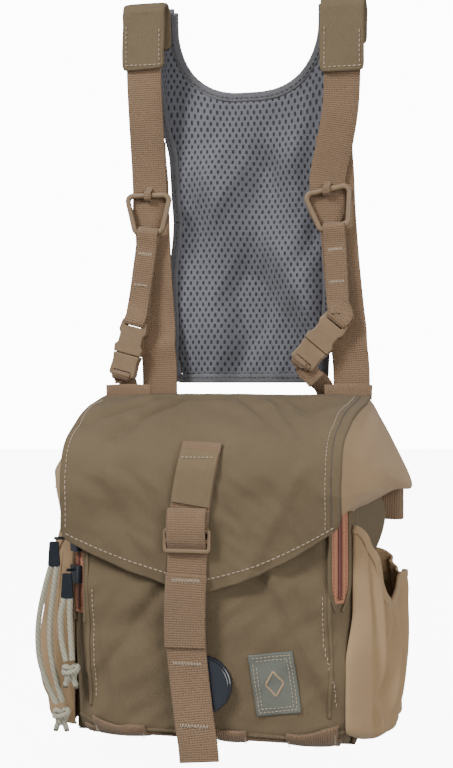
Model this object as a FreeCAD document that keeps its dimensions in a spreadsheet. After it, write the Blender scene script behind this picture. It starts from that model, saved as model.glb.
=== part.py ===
"""Binocular harness pack: chest pack hung from a shoulder harness. Millimetres, +Z up, front towards -Y.

The origin lies midway between the two shoulder pads, at the height of their folds.
"""
import FreeCAD, Part
import math
import os
import re

Vector = FreeCAD.Vector
X_AXIS = Vector(1, 0, 0)
Y_AXIS = Vector(0, 1, 0)
Z_AXIS = Vector(0, 0, 1)

# Driving dimensions: name, value in millimetres or degrees, what it measures.
SIZES = (
    ("pack_x", -4.5, "middle of the pack, which hangs a little to one side of the harness"),
    ("half_width", 90, "half the width of the pack between its side walls"),
    ("fabric", 2, "thickness of a padded fabric wall"),
    ("back_y", 14, "outer face of the back panel"),
    ("foam", 5, "thickness of the closed-cell foam"),
    ("sleeve_y", -4, "rear face of the inner rear wall; the sleeve lies behind it"),
    ("wall_y", -72, "outer face of the front wall"),
    ("pocket_y", -89, "outer face of the front pocket"),
    ("rear_top", -274, "top edge of the back panel"),
    ("sleeve_top", -300, "top of the back foam and of the sleeve's sides"),
    ("front_top", -325, "top edge of the front wall"),
    ("pocket_top", -340, "top of the front pocket"),
    ("base_z", -489, "underside of the base panel"),
    ("chamfer", 12, "slanted front corner that carries the zip"),
    ("flap_x", -8.5, "middle of the flap's front"),
    ("flap_half", 89, "half the width of the flap"),
    ("flap_skin", 2.4, "thickness of the flap"),
    ("flap_hinge_y", -5, "sewn rear edge of the flap"),
    ("flap_hinge_z", -273, "height of that edge"),
    ("flap_front_y", -98, "middle of the flap's hanging front"),
    ("flap_front_z", -312, "height at which the flap turns down"),
    ("closure_x", -14, "middle of the closure strap, to one side of the flap's middle"),
    ("hem_side", -365, "lower corners of the flap"),
    ("hem_tip", -395, "point of the flap's hem"),
    ("wing_length", 52, "depth of the stretch wing below the roof"),
    ("wing_flare", 22, "angle at which a wing stands out"),
    ("webbing", 25, "width of the wide webbing"),
    ("webbing_thick", 1.6, "thickness of webbing"),
    ("narrow_webbing", 15, "width of the buckle straps"),
    ("strap_x", 69, "middle of a shoulder strap from the middle of the harness"),
    ("pad_width", 30, "width of a shoulder pad"),
    ("pad_thick", 3, "thickness of a shoulder pad"),
    ("pad_fold", 21, "outer depth of the pad's fold over the shoulder"),
    ("pad_front", 48, "length of the pad in front"),
    ("pad_rear", 30, "length of the pad behind"),
    ("yoke_thick", 3, "thickness of the spacer mesh"),
    ("yoke_lean", 2.6, "lean of the hanging yoke"),
    ("binding", 5, "width of the yoke's edge binding"),
    ("chain_y", 4, "plane in which the rings and buckles hang"),
    ("ring_z", -133, "height of the triangle ring's top bar"),
    ("ring_bar", 3.8, "thickness of the triangle ring"),
    ("ring_drop", 26.1, "top bar to bottom bar of the ring"),
    ("strap_drop", 62, "ring's bottom bar to the buckle"),
    ("buckle_width", 21, "width of the side-release buckle"),
    ("buckle_thick", 9, "thickness of the buckle"),
    ("socket_length", 24, "length of the buckle's socket"),
    ("plug_length", 16.4, "length of the plug outside the socket"),
    ("slider_z", -361, "height of the closure strap's slider"),
    ("slider_width", 30, "width of that slider"),
    ("slider_height", 15, "height of that slider"),
    ("tail_end", -500, "free end of the closure strap"),
    ("magnet_z", -451, "height of the magnetic fastener"),
    ("magnet_size", 36, "diameter of the magnetic fastener"),
    ("pocket_bulge", 30, "depth of a side pocket out from the wall"),
    ("pocket_rim_z", -379, "top of the side pockets' shells"),
    ("pocket_front_y", -66, "front of the side pockets"),
    ("pocket_rear_y", 8, "rear of the side pockets"),
    ("cord", 3.6, "diameter of the pull cords"),
    ("pull_y", -92, "plane in which the zip pulls hang"),
)

doc = FreeCAD.newDocument("binocular_harness_pack")
sheet = doc.addObject("Spreadsheet::Sheet", "Sizes")
for row, (alias, value, meaning) in enumerate(SIZES, start=1):
    sheet.set(f"A{row}", meaning)
    sheet.set(f"B{row}", str(value))
    sheet.setAlias(f"B{row}", alias)
doc.recompute()

subparts = []


def size(alias):
    """The sheet's value for a name."""
    return float(sheet.get(alias))


def bound(text):
    """An expression in the sheet's names, as FreeCAD reads it."""
    return re.sub(r"[a-z][a-z_]+", lambda name: "Sizes." + name.group(0), text)


def kept(feature, label):
    """Mark a feature as a finished sub-part."""
    feature.Label = label
    subparts.append(feature)
    return feature


def slab(name, x, y, z):
    """A block between a low and a high expression along each axis."""
    block = doc.addObject("Part::Box", name)
    for length, axis, (low, high) in zip(("Length", "Width", "Height"), "xyz", (x, y, z)):
        block.setExpression(length, bound(f"({high}) - ({low})"))
        block.setExpression(f"Placement.Base.{axis}", bound(low))
    return block


def rod(name, radius, length, centre, axis):
    """A cylinder of a given length whose middle is at centre."""
    cylinder = doc.addObject("Part::Cylinder", name)
    cylinder.setExpression("Radius", bound(radius))
    cylinder.setExpression("Height", bound(length))
    doc.recompute()
    start = centre - axis * (cylinder.Height.Value / 2)
    cylinder.Placement = FreeCAD.Placement(start, FreeCAD.Rotation(Z_AXIS, axis))
    return cylinder


def boolean(kind, name, base, tool):
    """Cut, Common or a two-piece Fuse of two objects."""
    result = doc.addObject("Part::" + kind, name)
    result.Base = base
    result.Tool = tool
    return result


def rounded(name, base, radius, wanted):
    """Fillet the straight edges of base that the test picks by direction."""
    doc.recompute()
    fillet = doc.addObject("Part::Fillet", name)
    fillet.Base = base
    picked = []
    for number, edge in enumerate(base.Shape.Edges, start=1):
        if wanted(edge):
            picked.append((number, radius, radius))
    fillet.Edges = picked
    return fillet


def along_axis(axis):
    """A test for straight edges that run along an axis."""
    def test(edge):
        return abs(abs(edge.tangentAt(edge.FirstParameter).dot(axis)) - 1) < 1e-6
    return test


def loop(corners):
    """A closed outline of (u, v, radius) corners, as lines and tangent arcs."""
    count = len(corners)
    ends = []
    for index, (u, v, radius) in enumerate(corners):
        here = Vector(u, v, 0)
        before = Vector(*corners[index - 1][:2], 0) - here
        after = Vector(*corners[(index + 1) % count][:2], 0) - here
        if radius == 0:
            ends.append((here, None, here))
            continue
        half = before.getAngle(after) / 2
        cut = radius / math.tan(half)
        bisector = (before.normalize() + after.normalize()).normalize()
        middle = here + bisector * (radius / math.sin(half) - radius)
        ends.append((here + before * cut, middle, here + after * cut))
    curves = []
    for index, (start, middle, end) in enumerate(ends):
        if middle is not None:
            curves.append(Part.Arc(start, middle, end))
        following = ends[(index + 1) % count][0]
        if (following - end).Length > 1e-6:
            curves.append(Part.LineSegment(end, following))
    return curves


def ribbon(points, thickness):
    """Square corners of a band of even thickness about a centreline."""
    sides = ([], [])
    for index, point in enumerate(points):
        here = Vector(*point, 0)
        ahead = Vector(*points[min(index + 1, len(points) - 1)], 0) - here
        behind = here - Vector(*points[max(index - 1, 0)], 0)
        directions = [step.normalize() for step in (behind, ahead) if step.Length > 0]
        normal = sum((Vector(-step.y, step.x, 0) for step in directions), Vector()).normalize()
        first = directions[0]
        reach = thickness / 2 / normal.dot(Vector(-first.y, first.x, 0))
        sides[0].append((here.x + normal.x * reach, here.y + normal.y * reach, 0))
        sides[1].append((here.x - normal.x * reach, here.y - normal.y * reach, 0))
    return sides[0] + sides[1][::-1]


def extruded(name, plane, outlines, depth, base=Vector(), turn=None):
    """A PartDesign body: outlines on one of its own planes, padded by an expression."""
    body = doc.addObject("PartDesign::Body", name)
    sketch = body.newObject("Sketcher::SketchObject", name + "_outline")
    origin = next(item for item in body.Origin.OriginFeatures if item.Role == plane)
    sketch.AttachmentSupport = (origin, [""])
    sketch.MapMode = "FlatFace"
    for outline in outlines:
        for curve in loop(outline):
            sketch.addGeometry(curve, False)
    doc.recompute()
    pad = body.newObject("PartDesign::Pad", name + "_pad")
    pad.Profile = sketch
    pad.setExpression("Length", bound(depth))
    body.Tip = pad
    body.Placement = FreeCAD.Placement(base, turn or FreeCAD.Rotation())
    return body


def below(point, angle, distance):
    """The point at a distance down a line that leans by an angle about Y."""
    lean = math.radians(angle)
    return point + Vector(-math.sin(lean), 0, -math.cos(lean)) * distance


# ---------------------------------------------------------------- pack walls

def pack_span(inset="0"):
    """Low and high x of the pack, drawn in by an inset."""
    return (f"pack_x - half_width + {inset}", f"pack_x + half_width - ({inset})")


def make_walls():
    """Back, base, front, inner rear and side walls, and their foam."""
    kept(slab("back_panel", pack_span(), ("back_y - fabric", "back_y"), ("base_z", "rear_top")), "back_panel")
    kept(slab("back_foam", pack_span("4"), ("back_y - fabric - foam", "back_y - fabric"),
              ("base_z + fabric + foam", "sleeve_top")), "back_foam")
    kept(slab("base_panel", pack_span(), ("wall_y", "back_y - fabric"),
              ("base_z", "base_z + fabric")), "base_panel")
    kept(slab("base_foam", pack_span("4"), ("wall_y + fabric", "back_y - fabric - foam"),
              ("base_z + fabric", "base_z + fabric + foam")), "base_foam")
    kept(slab("front_wall", pack_span("fabric"), ("wall_y", "wall_y + fabric"),
              ("base_z + fabric", "front_top")), "front_wall")
    kept(slab("rear_wall", pack_span("fabric"), ("sleeve_y - fabric", "sleeve_y"),
              ("base_z + fabric + foam", "rear_top - 3")), "rear_wall")
    low = size("base_z") + size("fabric")
    rear = size("back_y") - size("fabric")
    outline = [
        (size("wall_y"), low, 0),
        (rear, low, 0),
        (rear, size("sleeve_top"), 0),
        (size("sleeve_y"), size("sleeve_top"), 0),
        (size("sleeve_y"), size("rear_top") - 5, 4),
        (size("wall_y"), size("front_top"), 4),
    ]
    outer = size("half_width")
    for side, edge in (("left", -outer), ("right", outer - size("fabric"))):
        wall = extruded("side_wall_" + side, "YZ_Plane", [outline], "fabric",
                        Vector(size("pack_x") + edge, 0, 0))
        kept(wall, "side_wall_" + side)


def pocket_plan(half, front, chamfer):
    """Plan of the front pocket: slanted corners at the front."""
    rear = size("wall_y")
    return [
        (-half, rear, 0),
        (-half, front + chamfer, 6),
        (-half + chamfer, front, 6),
        (half - chamfer, front, 6),
        (half, front + chamfer, 6),
        (half, rear, 0),
    ]


def make_front_pocket():
    """Organiser pocket sewn to the front wall, with its zip round the slanted corners."""
    half = size("half_width")
    skin = size("fabric")
    front = size("pocket_y")
    low = size("base_z") + skin
    outer = extruded("front_pocket_body", "XY_Plane", [pocket_plan(half, front, size("chamfer"))],
                     "pocket_top - base_z - fabric", Vector(size("pack_x"), 0, low))
    hollow = extruded("front_pocket_hollow", "XY_Plane",
                      [pocket_plan(half - skin, front + skin, size("chamfer"))],
                      "pocket_top - base_z - fabric * 3", Vector(size("pack_x"), 0, low + skin))
    kept(boolean("Cut", "front_pocket", outer, hollow), "front_pocket")


def on_chamfer(side, out):
    """A point at some distance out from the middle of a slanted corner, and the corner's turn."""
    half = size("chamfer") / 2
    reach = half + out * math.sqrt(0.5)
    x = size("pack_x") + side * (size("half_width") - size("chamfer") + reach)
    y = size("pocket_y") + size("chamfer") - reach
    return Vector(x, y, 0), FreeCAD.Rotation(Z_AXIS, 45 * side)


def corner_block(name, side, wide, out, z):
    """A block that lies on a slanted corner between two distances out from it."""
    block = doc.addObject("Part::Box", name)
    block.setExpression("Length", bound(wide))
    block.Width = out[1] - out[0]
    block.setExpression("Height", bound(f"({z[1]}) - ({z[0]})"))
    doc.recompute()
    foot, turn = on_chamfer(side, out[1])
    start = foot + turn.multVec(Vector(-block.Length.Value / 2, 0, 0))
    block.Placement = FreeCAD.Placement(start, turn)
    block.setExpression("Placement.Base.z", bound(z[0]))
    return block


def make_zip():
    """Both visible legs of the front pocket's zip: tape and coil."""
    for label, wide, out in (("zip_tape", "chamfer", (0.1, 1.1)), ("zip_coil", "fabric * 2", (1.1, 2.6))):
        legs = []
        for name, side in (("left", -1), ("right", 1)):
            legs.append(corner_block(f"{label}_{name}_leg", side, wide, out,
                                     ("hem_tip - 12", "pocket_top - 1")))
        kept(boolean("Fuse", label, legs[0], legs[1]), label)


def make_side_pocket(name, side):
    """Stretch pocket on a side wall, open at the top, with its elastic rim."""
    half = size("half_width")
    bulge = size("pocket_bulge")
    front = size("pocket_front_y")
    rear = size("pocket_rear_y")
    skin = 2
    gap = 0.1

    def plan(inset):
        near = side * (half + gap)
        far = side * (half + bulge - inset)
        return [
            (near, front + inset, 0),
            (far, front + inset, 14 - inset),
            (far, rear - inset, 14 - inset),
            (near, rear - inset, 0),
        ]
    foot = size("base_z") + 4
    place = Vector(size("pack_x"), 0, foot)
    shell = extruded(f"side_pocket_{name}_body", "XY_Plane", [plan(0)], "pocket_rim_z - base_z - 4", place)
    hollow = extruded(f"side_pocket_{name}_hollow", "XY_Plane", [plan(skin)], "pocket_rim_z - base_z",
                      place + Vector(0, 0, skin))
    kept(boolean("Cut", "side_pocket_" + name, shell, hollow), "side_pocket_" + name)
    high = Vector(size("pack_x"), 0, size("pocket_rim_z"))
    band = extruded(f"side_pocket_rim_{name}_body", "XY_Plane", [plan(-0.3)], "foam + 3", high)
    inside = extruded(f"side_pocket_rim_{name}_hollow", "XY_Plane", [plan(skin + 0.3)], "foam + 5",
                      high - Vector(0, 0, 1))
    kept(boolean("Cut", "side_pocket_rim_" + name, band, inside), "side_pocket_rim_" + name)


def make_loops(name, side):
    """Webbing loops: one flat at the top corner, one standing out at the rear of the side."""
    middle = size("pack_x") + side * (size("half_width") - 13)
    strip = extruded("anchor_loop_" + name, "XZ_Plane",
                     [[(-16, -5, 1), (16, -5, 1), (16, 5, 1), (-16, 5, 1)]], "webbing_thick",
                     Vector(middle, size("sleeve_y") + 0.3 + size("webbing_thick"), size("rear_top") + 3.5))
    kept(strip, "anchor_loop_" + name)
    wall = size("pack_x") + side * size("half_width")
    thick = size("webbing_thick")
    reach = 24
    tall = 14
    outer = [(0, -tall / 2, 0), (side * reach, -tall / 2, 5), (side * reach, tall / 2, 5), (0, tall / 2, 0)]
    inner = [
        (side * thick, -tall / 2 + thick, 0),
        (side * (reach - thick), -tall / 2 + thick, 5 - thick),
        (side * (reach - thick), tall / 2 - thick, 5 - thick),
        (side * thick, tall / 2 - thick, 0),
    ]
    ring = extruded("side_loop_" + name, "XY_Plane", [outer, inner], "webbing",
                    Vector(wall + side * 0.1, size("sleeve_y") + 1, size("sleeve_top") - 54))
    kept(ring, "side_loop_" + name)


def make_trim():
    """Base webbing, label patch and the fixed half of the magnetic fastener."""
    kept(slab("base_webbing", pack_span("8"), ("pocket_y + 2", "pocket_y + 2 + webbing"),
              ("base_z - webbing_thick - 0.1", "base_z - 0.1")), "base_webbing")
    patch = slab("label_patch_blank", ("pack_x + 28", "pack_x + 57"),
                 ("pocket_y - 1.4", "pocket_y - 0.1"), ("magnet_z - 21", "magnet_z + 18"))
    kept(rounded("label_patch", patch, 1.5, along_axis(Y_AXIS)), "label_patch")
    radius = size("magnet_size") / 2
    centre = Vector(size("flap_x") + 2.5, 0, size("magnet_z"))
    blank = rod("magnet_base_blank", "magnet_size / 2", "fabric * 2.4",
                centre + Vector(0, size("pocket_y") - 2.5, 0), Y_AXIS)
    doc.recompute()
    kept(rounded("magnet_base", blank, 1.6, lambda edge: edge.BoundBox.YLength < 0.1
                 and edge.Length > radius and edge.BoundBox.YMin < size("pocket_y") - 3), "magnet_base")
    cap = rod("magnet_cap_blank", "magnet_size / 2 - 1", "fabric * 1.4",
              centre + Vector(0, size("pocket_y") - 6.6, 0), Y_AXIS)
    doc.recompute()
    kept(rounded("magnet_cap", cap, 1.1, lambda edge: edge.BoundBox.YLength < 0.1
                 and edge.Length > radius), "magnet_cap")


# ---------------------------------------------------------------- flap

def make_flap():
    """Roof and hanging front of the flap in one skin, with a pointed hem."""
    half = size("flap_half")
    front = size("flap_front_y")
    side_view = ribbon([
        (size("flap_hinge_y"), size("flap_hinge_z")),
        (front + 34, size("flap_front_z") + 18),
        (front + 8, size("flap_front_z") + 3),
        (front, size("flap_front_z") - 8),
        (front, size("hem_tip")),
    ], size("flap_skin"))
    skin = extruded("flap_skin_body", "YZ_Plane", [side_view], "flap_half * 2",
                    Vector(size("flap_x") - half, 0, 0))
    outline = [
        (-half + 6, size("flap_hinge_z") + 5, 0),
        (half - 6, size("flap_hinge_z") + 5, 0),
        (half, size("flap_front_z") + 18, 12),
        (half, size("hem_side"), 6),
        (0, size("hem_tip"), 22),
        (-half, size("hem_side"), 6),
        (-half, size("flap_front_z") + 18, 12),
    ]
    cutter = extruded("flap_outline_body", "XZ_Plane", [outline], "half_width * 2",
                      Vector(size("flap_x"), 20, 0))
    kept(boolean("Common", "flap", skin, cutter), "flap")
    depth = size("flap_hinge_y") - front - 2
    fall = size("flap_hinge_z") - size("flap_front_z")
    drop = size("wing_length")
    wing = [
        (-2, -6, 0),
        (-depth, -fall - 4, 0),
        (-depth, -fall - 18, 4),
        (-14, -drop - 9, 8),
    ]
    for name, side in (("left", -1), ("right", 1)):
        hinge = Vector(size("flap_x") + side * (half + 2.6), size("flap_hinge_y"), size("flap_hinge_z"))
        if side < 0:
            hinge.x -= 1.6
        flare = FreeCAD.Rotation(Vector(0, -depth, -fall), side * size("wing_flare"))
        body = extruded("flap_wing_" + name, "YZ_Plane", [wing], "webbing_thick", hinge, flare)
        kept(body, "flap_wing_" + name)


def make_closure():
    """Closure strap in two lengths, its slider, and the magnet's moving half under the tail."""
    front = size("flap_front_y") - size("flap_skin") / 2
    kept(slab("closure_strap_upper", ("closure_x - webbing / 2", "closure_x + webbing / 2"),
              ("flap_front_y - flap_skin / 2 - webbing_thick - 0.1", "flap_front_y - flap_skin / 2 - 0.1"),
              ("hem_tip + 1", "flap_front_z - 9")), "closure_strap_upper")
    kept(slab("closure_strap_tail", ("closure_x - webbing / 2", "closure_x + webbing / 2"),
              ("flap_front_y + 1 - webbing_thick", "flap_front_y + 1"),
              ("tail_end", "hem_tip - 0.3")), "closure_strap_tail")
    width = size("slider_width") / 2
    tall = size("slider_height") / 2
    bar = 2.4
    slot = size("webbing") / 2 + 0.4
    outlines = [[(-width, -tall, 2.5), (width, -tall, 2.5), (width, tall, 2.5), (-width, tall, 2.5)]]
    for low, high in ((-tall + bar, -bar / 2), (bar / 2, tall - bar)):
        outlines.append([(-slot, low, 1), (slot, low, 1), (slot, high, 1), (-slot, high, 1)])
    place = Vector(size("closure_x"), front - size("webbing_thick") - 0.4, size("slider_z"))
    frame = extruded("strap_slider_body", "XZ_Plane", outlines, "fabric * 1.6", place)
    kept(rounded("strap_slider", frame, 0.7, along_axis(X_AXIS)), "strap_slider")


# ---------------------------------------------------------------- zip sliders and pull cords

def make_zip_slider(name, z, pivot_x):
    """A metal slider on the left leg of the zip, with its bail and a tab hung from the bail."""
    body = corner_block(f"zip_slider_{name}_body", -1, "chamfer - 3", (1.3, 6), (str(z - 5.5), str(z + 5.5)))
    channel = corner_block(f"zip_slider_{name}_channel", -1, "fabric * 2 + 0.6", (0.8, 2.9),
                           (str(z - 7), str(z + 7)))
    body = rounded(f"zip_slider_{name}_shell", body, 0.8, along_axis(Z_AXIS))
    slider = boolean("Cut", f"zip_slider_{name}_block", body, channel)
    foot, _ = on_chamfer(-1, 4.5)
    start = Vector(foot.x, foot.y, z + 3)
    end = Vector(pivot_x, size("pull_y"), z + 3)
    arm = rod(f"zip_slider_{name}_arm", "fabric / 2", str((end - start).Length), (start + end) / 2,
              (end - start).normalize())
    kept(boolean("Fuse", "zip_slider_" + name, slider, arm), "zip_slider_" + name)
    tab = [(-4, -18, 1.5), (4, -18, 1.5), (3, -2, 1), (-3, -2, 1)]
    kept(extruded("pull_tab_" + name, "XZ_Plane", [tab], "webbing_thick",
                  Vector(pivot_x, size("pull_y") + size("webbing_thick") / 2, z + 3)), "pull_tab_" + name)


def cord_path(points):
    """Straight runs joined by arcs, each as large as its two runs allow; and its tightest radius."""
    edges = []
    tightest = math.inf
    last = points[0]
    for before, here, after in zip(points, points[1:], points[2:]):
        back = before - here
        ahead = after - here
        turn = math.pi - back.getAngle(ahead)
        cut = 0.45 * min(back.Length, ahead.Length)
        radius = cut / math.tan(turn / 2)
        tightest = min(tightest, radius)
        back.normalize()
        ahead.normalize()
        bisector = (back + ahead).normalize()
        start = here + back * cut
        end = here + ahead * cut
        middle = here + bisector * (radius / math.cos(turn / 2) - radius)
        edges.append(Part.LineSegment(last, start).toShape())
        edges.append(Part.Arc(start, middle, end).toShape())
        last = end
    edges.append(Part.LineSegment(last, points[-1]).toShape())
    return Part.Wire(edges), tightest


def make_cord(label, route):
    """A plain round tube along a route."""
    path, tightest = cord_path([Vector(*point) for point in route])
    radius = size("cord") / 2
    start = path.Edges[0]
    section = Part.Wire([Part.makeCircle(radius, start.Vertexes[0].Point, start.tangentAt(0))])
    solid = path.makePipeShell([section], True, False)
    wanted = math.pi * radius ** 2 * path.Length
    print(f"{label}: length {path.Length:.1f} mm, tightest radius {tightest:.1f} mm,"
          f" volume {solid.Volume / wanted:.3f} of section x length")
    feature = doc.addObject("Part::Feature", label)
    feature.Shape = solid
    feature.Placement = FreeCAD.Placement()
    kept(feature, label)


# Both strands of each pull, from the tab's foot to the knot.
CORD_ROUTES = {
    "pull_cord_upper_outer": (
        (-106, -92, -381), (-110.5, -92.8, -396), (-116, -91, -423), (-114, -88.4, -450), (-104, -86.4, -469.4)),
    "pull_cord_upper_inner": (
        (-101.8, -92, -381), (-104.6, -91.2, -396), (-107.8, -90.6, -423), (-106.4, -88, -446), (-100.2, -86.2, -468)),
    "pull_cord_lower_outer": (
        (-97, -92, -401), (-99.2, -92.6, -409), (-99.4, -92.4, -419), (-98.4, -92.3, -430.5), (-95.2, -93.2, -440.4)),
    "pull_cord_lower_inner": (
        (-93, -92, -401), (-93.6, -91.6, -409), (-93, -91.8, -419), (-92.2, -92.5, -430), (-91.2, -93.2, -439.6)),
}
KNOTS = {"pull_knot_upper": (-101, -85.8, -476.5), "pull_knot_lower": (-92, -93.4, -446.8)}


def make_knot(label, centre):
    """Overhand knot with its cut ends, as a plain rounded body."""
    ball = doc.addObject("Part::Sphere", label)
    ball.setExpression("Radius", bound("cord * 2.4"))
    ball.Placement.Base = Vector(*centre)
    kept(ball, label)


# ---------------------------------------------------------------- harness

def yoke_outline(inset):
    """Half-open U at the neck, ears to the shoulders, waisted sides and a straight foot."""
    neck = 50 + inset
    ear = 88 - inset
    half = [
        (neck, -10 - inset, 0),
        (ear, -10 - inset, 3),
        (ear - 4, -46, 20),
        (57 - inset, -96, 60),
        (55 - inset, -150, 0),
        (58 - inset, -190, 0),
        (56 - inset, -264 + inset, 4),
    ]
    mirrored = [(-u, v, radius) for u, v, radius in half[::-1]]
    return half + mirrored + [(-neck, -62 - inset, 42), (neck, -62 - inset, 42)]


def make_yoke():
    """Spacer-mesh yoke with an edge binding all round."""
    lean = FreeCAD.Rotation(X_AXIS, size("yoke_lean"))
    place = Vector(0, size("pad_fold") / 2 + 0.3 + size("yoke_thick"), 0)
    inset = size("binding")
    kept(extruded("yoke_mesh", "XZ_Plane", [yoke_outline(inset + 0.1)], "yoke_thick", place, lean), "yoke_mesh")
    kept(extruded("yoke_binding", "XZ_Plane", [yoke_outline(0), yoke_outline(inset)], "yoke_thick",
                  place, lean), "yoke_binding")


def make_shoulder(name, side):
    """Pad folded over the shoulder, and the wide webbing from it down to the pack's back."""
    fold = size("pad_fold") / 2
    thick = size("pad_thick")
    pad = [
        (-fold, -size("pad_front"), 0),
        (-fold, 0, fold - 0.1),
        (fold, 0, fold - 0.1),
        (fold, -size("pad_rear"), 0),
        (fold - thick, -size("pad_rear"), 0),
        (fold - thick, -thick, fold - thick - 0.1),
        (-fold + thick, -thick, fold - thick - 0.1),
        (-fold + thick, -size("pad_front"), 0),
    ]
    middle = side * size("strap_x")
    kept(extruded("shoulder_pad_" + name, "YZ_Plane", [pad], "pad_width",
                  Vector(middle - size("pad_width") / 2, 0, 0)), "shoulder_pad_" + name)
    run = ribbon([
        (-fold + thick + 1, -30),
        (-fold + thick + 1, -52),
        (10.5, -118),
        (10.5, -190),
        (11, size("rear_top") + 4),
    ], size("webbing_thick"))
    kept(extruded("shoulder_webbing_" + name, "YZ_Plane", [run], "webbing",
                  Vector(middle - size("webbing") / 2, 0, 0)), "shoulder_webbing_" + name)


# Side, ring's place across, lean of the ring, of its strap and of its buckle (degrees about Y).
CHAINS = (
    ("left", -69, 0, 8, 15),
    ("right", 57, -11, -3, 40),
)
TAB_FEET = {"left": (-89, -263.5), "right": (44, -263.5)}


def turned(angle):
    """A lean about the Y axis."""
    return FreeCAD.Rotation(Y_AXIS, angle)


def make_ring(name, top, lean):
    """Triangle ring hung by its top bar in a webbing keeper."""
    bar = size("ring_bar")
    outer = [(-18, bar / 2, 5.5), (18, bar / 2, 5.5), (11, -28, 6), (-11, -28, 6)]
    inner = [(-13.6, -bar / 2, 2.2), (13.6, -bar / 2, 2.2), (8.1, -24.2, 2.6), (-8.1, -24.2, 2.6)]
    place = top + Vector(0, bar / 2, 0)
    body = extruded(f"triangle_ring_{name}_body", "XZ_Plane", [outer, inner], "ring_bar", place, turned(lean))
    kept(rounded("triangle_ring_" + name, body, 1.5, lambda edge: edge.BoundBox.YLength < 1e-4),
         "triangle_ring_" + name)
    axis = turned(lean).multVec(X_AXIS)
    sleeve = rod(f"ring_keeper_{name}_sleeve", "ring_bar + 0.2", "webbing - 2", top, axis)
    bore = rod(f"ring_keeper_{name}_bore", "ring_bar / 2 + 0.9", "webbing", top, axis)
    kept(boolean("Cut", "ring_keeper_" + name, sleeve, bore), "ring_keeper_" + name)


def make_buckle(name, foot, strap_lean, lean):
    """Narrow strap from the ring, and the side-release buckle's socket and plug."""
    axis = turned(strap_lean).multVec(X_AXIS)
    sleeve = rod(f"buckle_strap_{name}_sleeve", "ring_bar * 1.3", "narrow_webbing - 1", foot, axis)
    bore = rod(f"buckle_strap_{name}_bore", "ring_bar * 0.9", "narrow_webbing", foot, axis)
    eye = boolean("Cut", f"buckle_strap_{name}_eye", sleeve, bore)
    top = below(foot, strap_lean, size("strap_drop") + 0.2)
    run = [below(foot, strap_lean, 4.6), below(top, lean, -7), below(top, lean, -0.2)]
    band = extruded(f"buckle_strap_{name}_band", "XZ_Plane",
                    [ribbon([(point.x, point.z) for point in run], size("narrow_webbing"))],
                    "webbing_thick * 2", Vector(0, foot.y + size("webbing_thick"), 0))
    kept(boolean("Fuse", "buckle_strap_" + name, eye, band), "buckle_strap_" + name)
    width = size("buckle_width") / 2
    thick = size("buckle_thick") / 2
    length = size("socket_length")
    front = top + Vector(0, thick, 0)

    def piece(label, outlines, depth, inset):
        """A plate of the buckle, set back by an inset from its front face."""
        return extruded(label, "XZ_Plane", outlines, depth, front - Vector(0, inset, 0), turned(lean))
    shell = piece(f"buckle_socket_{name}_shell",
                  [[(-width + 1.5, 0, 2), (width - 1.5, 0, 2), (width - 0.4, -8, 3), (width - 2, -10.5, 2),
                    (width - 2, -16.5, 2), (width, -19, 2), (width - 0.6, -length, 1), (-width + 0.6, -length, 1),
                    (-width, -19, 2), (-width + 2, -16.5, 2), (-width + 2, -10.5, 2), (-width + 0.4, -8, 3)],
                   [(-width + 4, -2, 0.6), (width - 4, -2, 0.6), (width - 4, -4.5, 0.6), (-width + 4, -4.5, 0.6)]],
                  "buckle_thick", 0)
    shell = rounded(f"buckle_socket_{name}_round", shell, 1, lambda edge: edge.Length > 15
                    and edge.BoundBox.YLength < 1e-4)
    cavity = piece(f"buckle_socket_{name}_cavity",
                   [[(-width + 2.2, -7, 0), (width - 2.2, -7, 0), (width - 2.2, -length - 1, 0),
                     (-width + 2.2, -length - 1, 0)]], "buckle_thick - 4", 2)
    window = piece(f"buckle_socket_{name}_window",
                   [[(-width - 2, -10, 0), (width + 2, -10, 0), (width + 2, -18, 0), (-width - 2, -18, 0)]],
                   "buckle_thick - 4", 2)
    hollow = boolean("Fuse", f"buckle_socket_{name}_hollow", cavity, window)
    kept(boolean("Cut", "buckle_socket_" + name, shell, hollow), "buckle_socket_" + name)
    plug_end = -length - size("plug_length")
    step = -length - 0.3
    base = piece(f"buckle_plug_{name}_base",
                 [[(-width + 0.6, step, 1), (width - 0.6, step, 1), (width - 1.6, step - 5, 5),
                   (width - 1, plug_end, 2.5), (-width + 1, plug_end, 2.5), (-width + 1.6, step - 5, 5)],
                  [(-width + 4, plug_end + 4.5, 0.6), (width - 4, plug_end + 4.5, 0.6),
                   (width - 4, plug_end + 2, 0.6), (-width + 4, plug_end + 2, 0.6)]], "buckle_thick", 0)
    base = rounded(f"buckle_plug_{name}_round", base, 1, lambda edge: edge.Length > 15
                   and edge.BoundBox.YLength < 1e-4)
    prongs = piece(f"buckle_plug_{name}_prongs",
                   [[(-width + 2.6, step - 1, 0), (-width + 2.6, -9, 1.6), (-width + 5.4, -9, 1),
                     (-width + 5.4, step + 4, 1), (-1.2, step + 4, 1), (-1.2, -12, 0.5), (1.2, -12, 0.5),
                     (1.2, step + 4, 1), (width - 5.4, step + 4, 1), (width - 5.4, -9, 1),
                     (width - 2.6, -9, 1.6), (width - 2.6, step - 1, 0)]], "buckle_thick - 5", 2.5)
    kept(boolean("Fuse", "buckle_plug_" + name, base, prongs), "buckle_plug_" + name)
    end = below(top, lean, length + size("plug_length") + 0.2)
    half = size("narrow_webbing") / 2 - 1
    across = turned(lean).multVec(X_AXIS) * half
    foot_x, foot_z = TAB_FEET[name]
    tab = [(end.x - across.x, end.z - across.z, 0), (end.x + across.x, end.z + across.z, 0),
           (foot_x + half, foot_z, 0), (foot_x - half, foot_z, 0)]
    kept(extruded("buckle_tab_" + name, "XZ_Plane", [tab], "webbing_thick",
                  Vector(0, size("chain_y") + size("webbing_thick") / 2, 0)), "buckle_tab_" + name)


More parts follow.
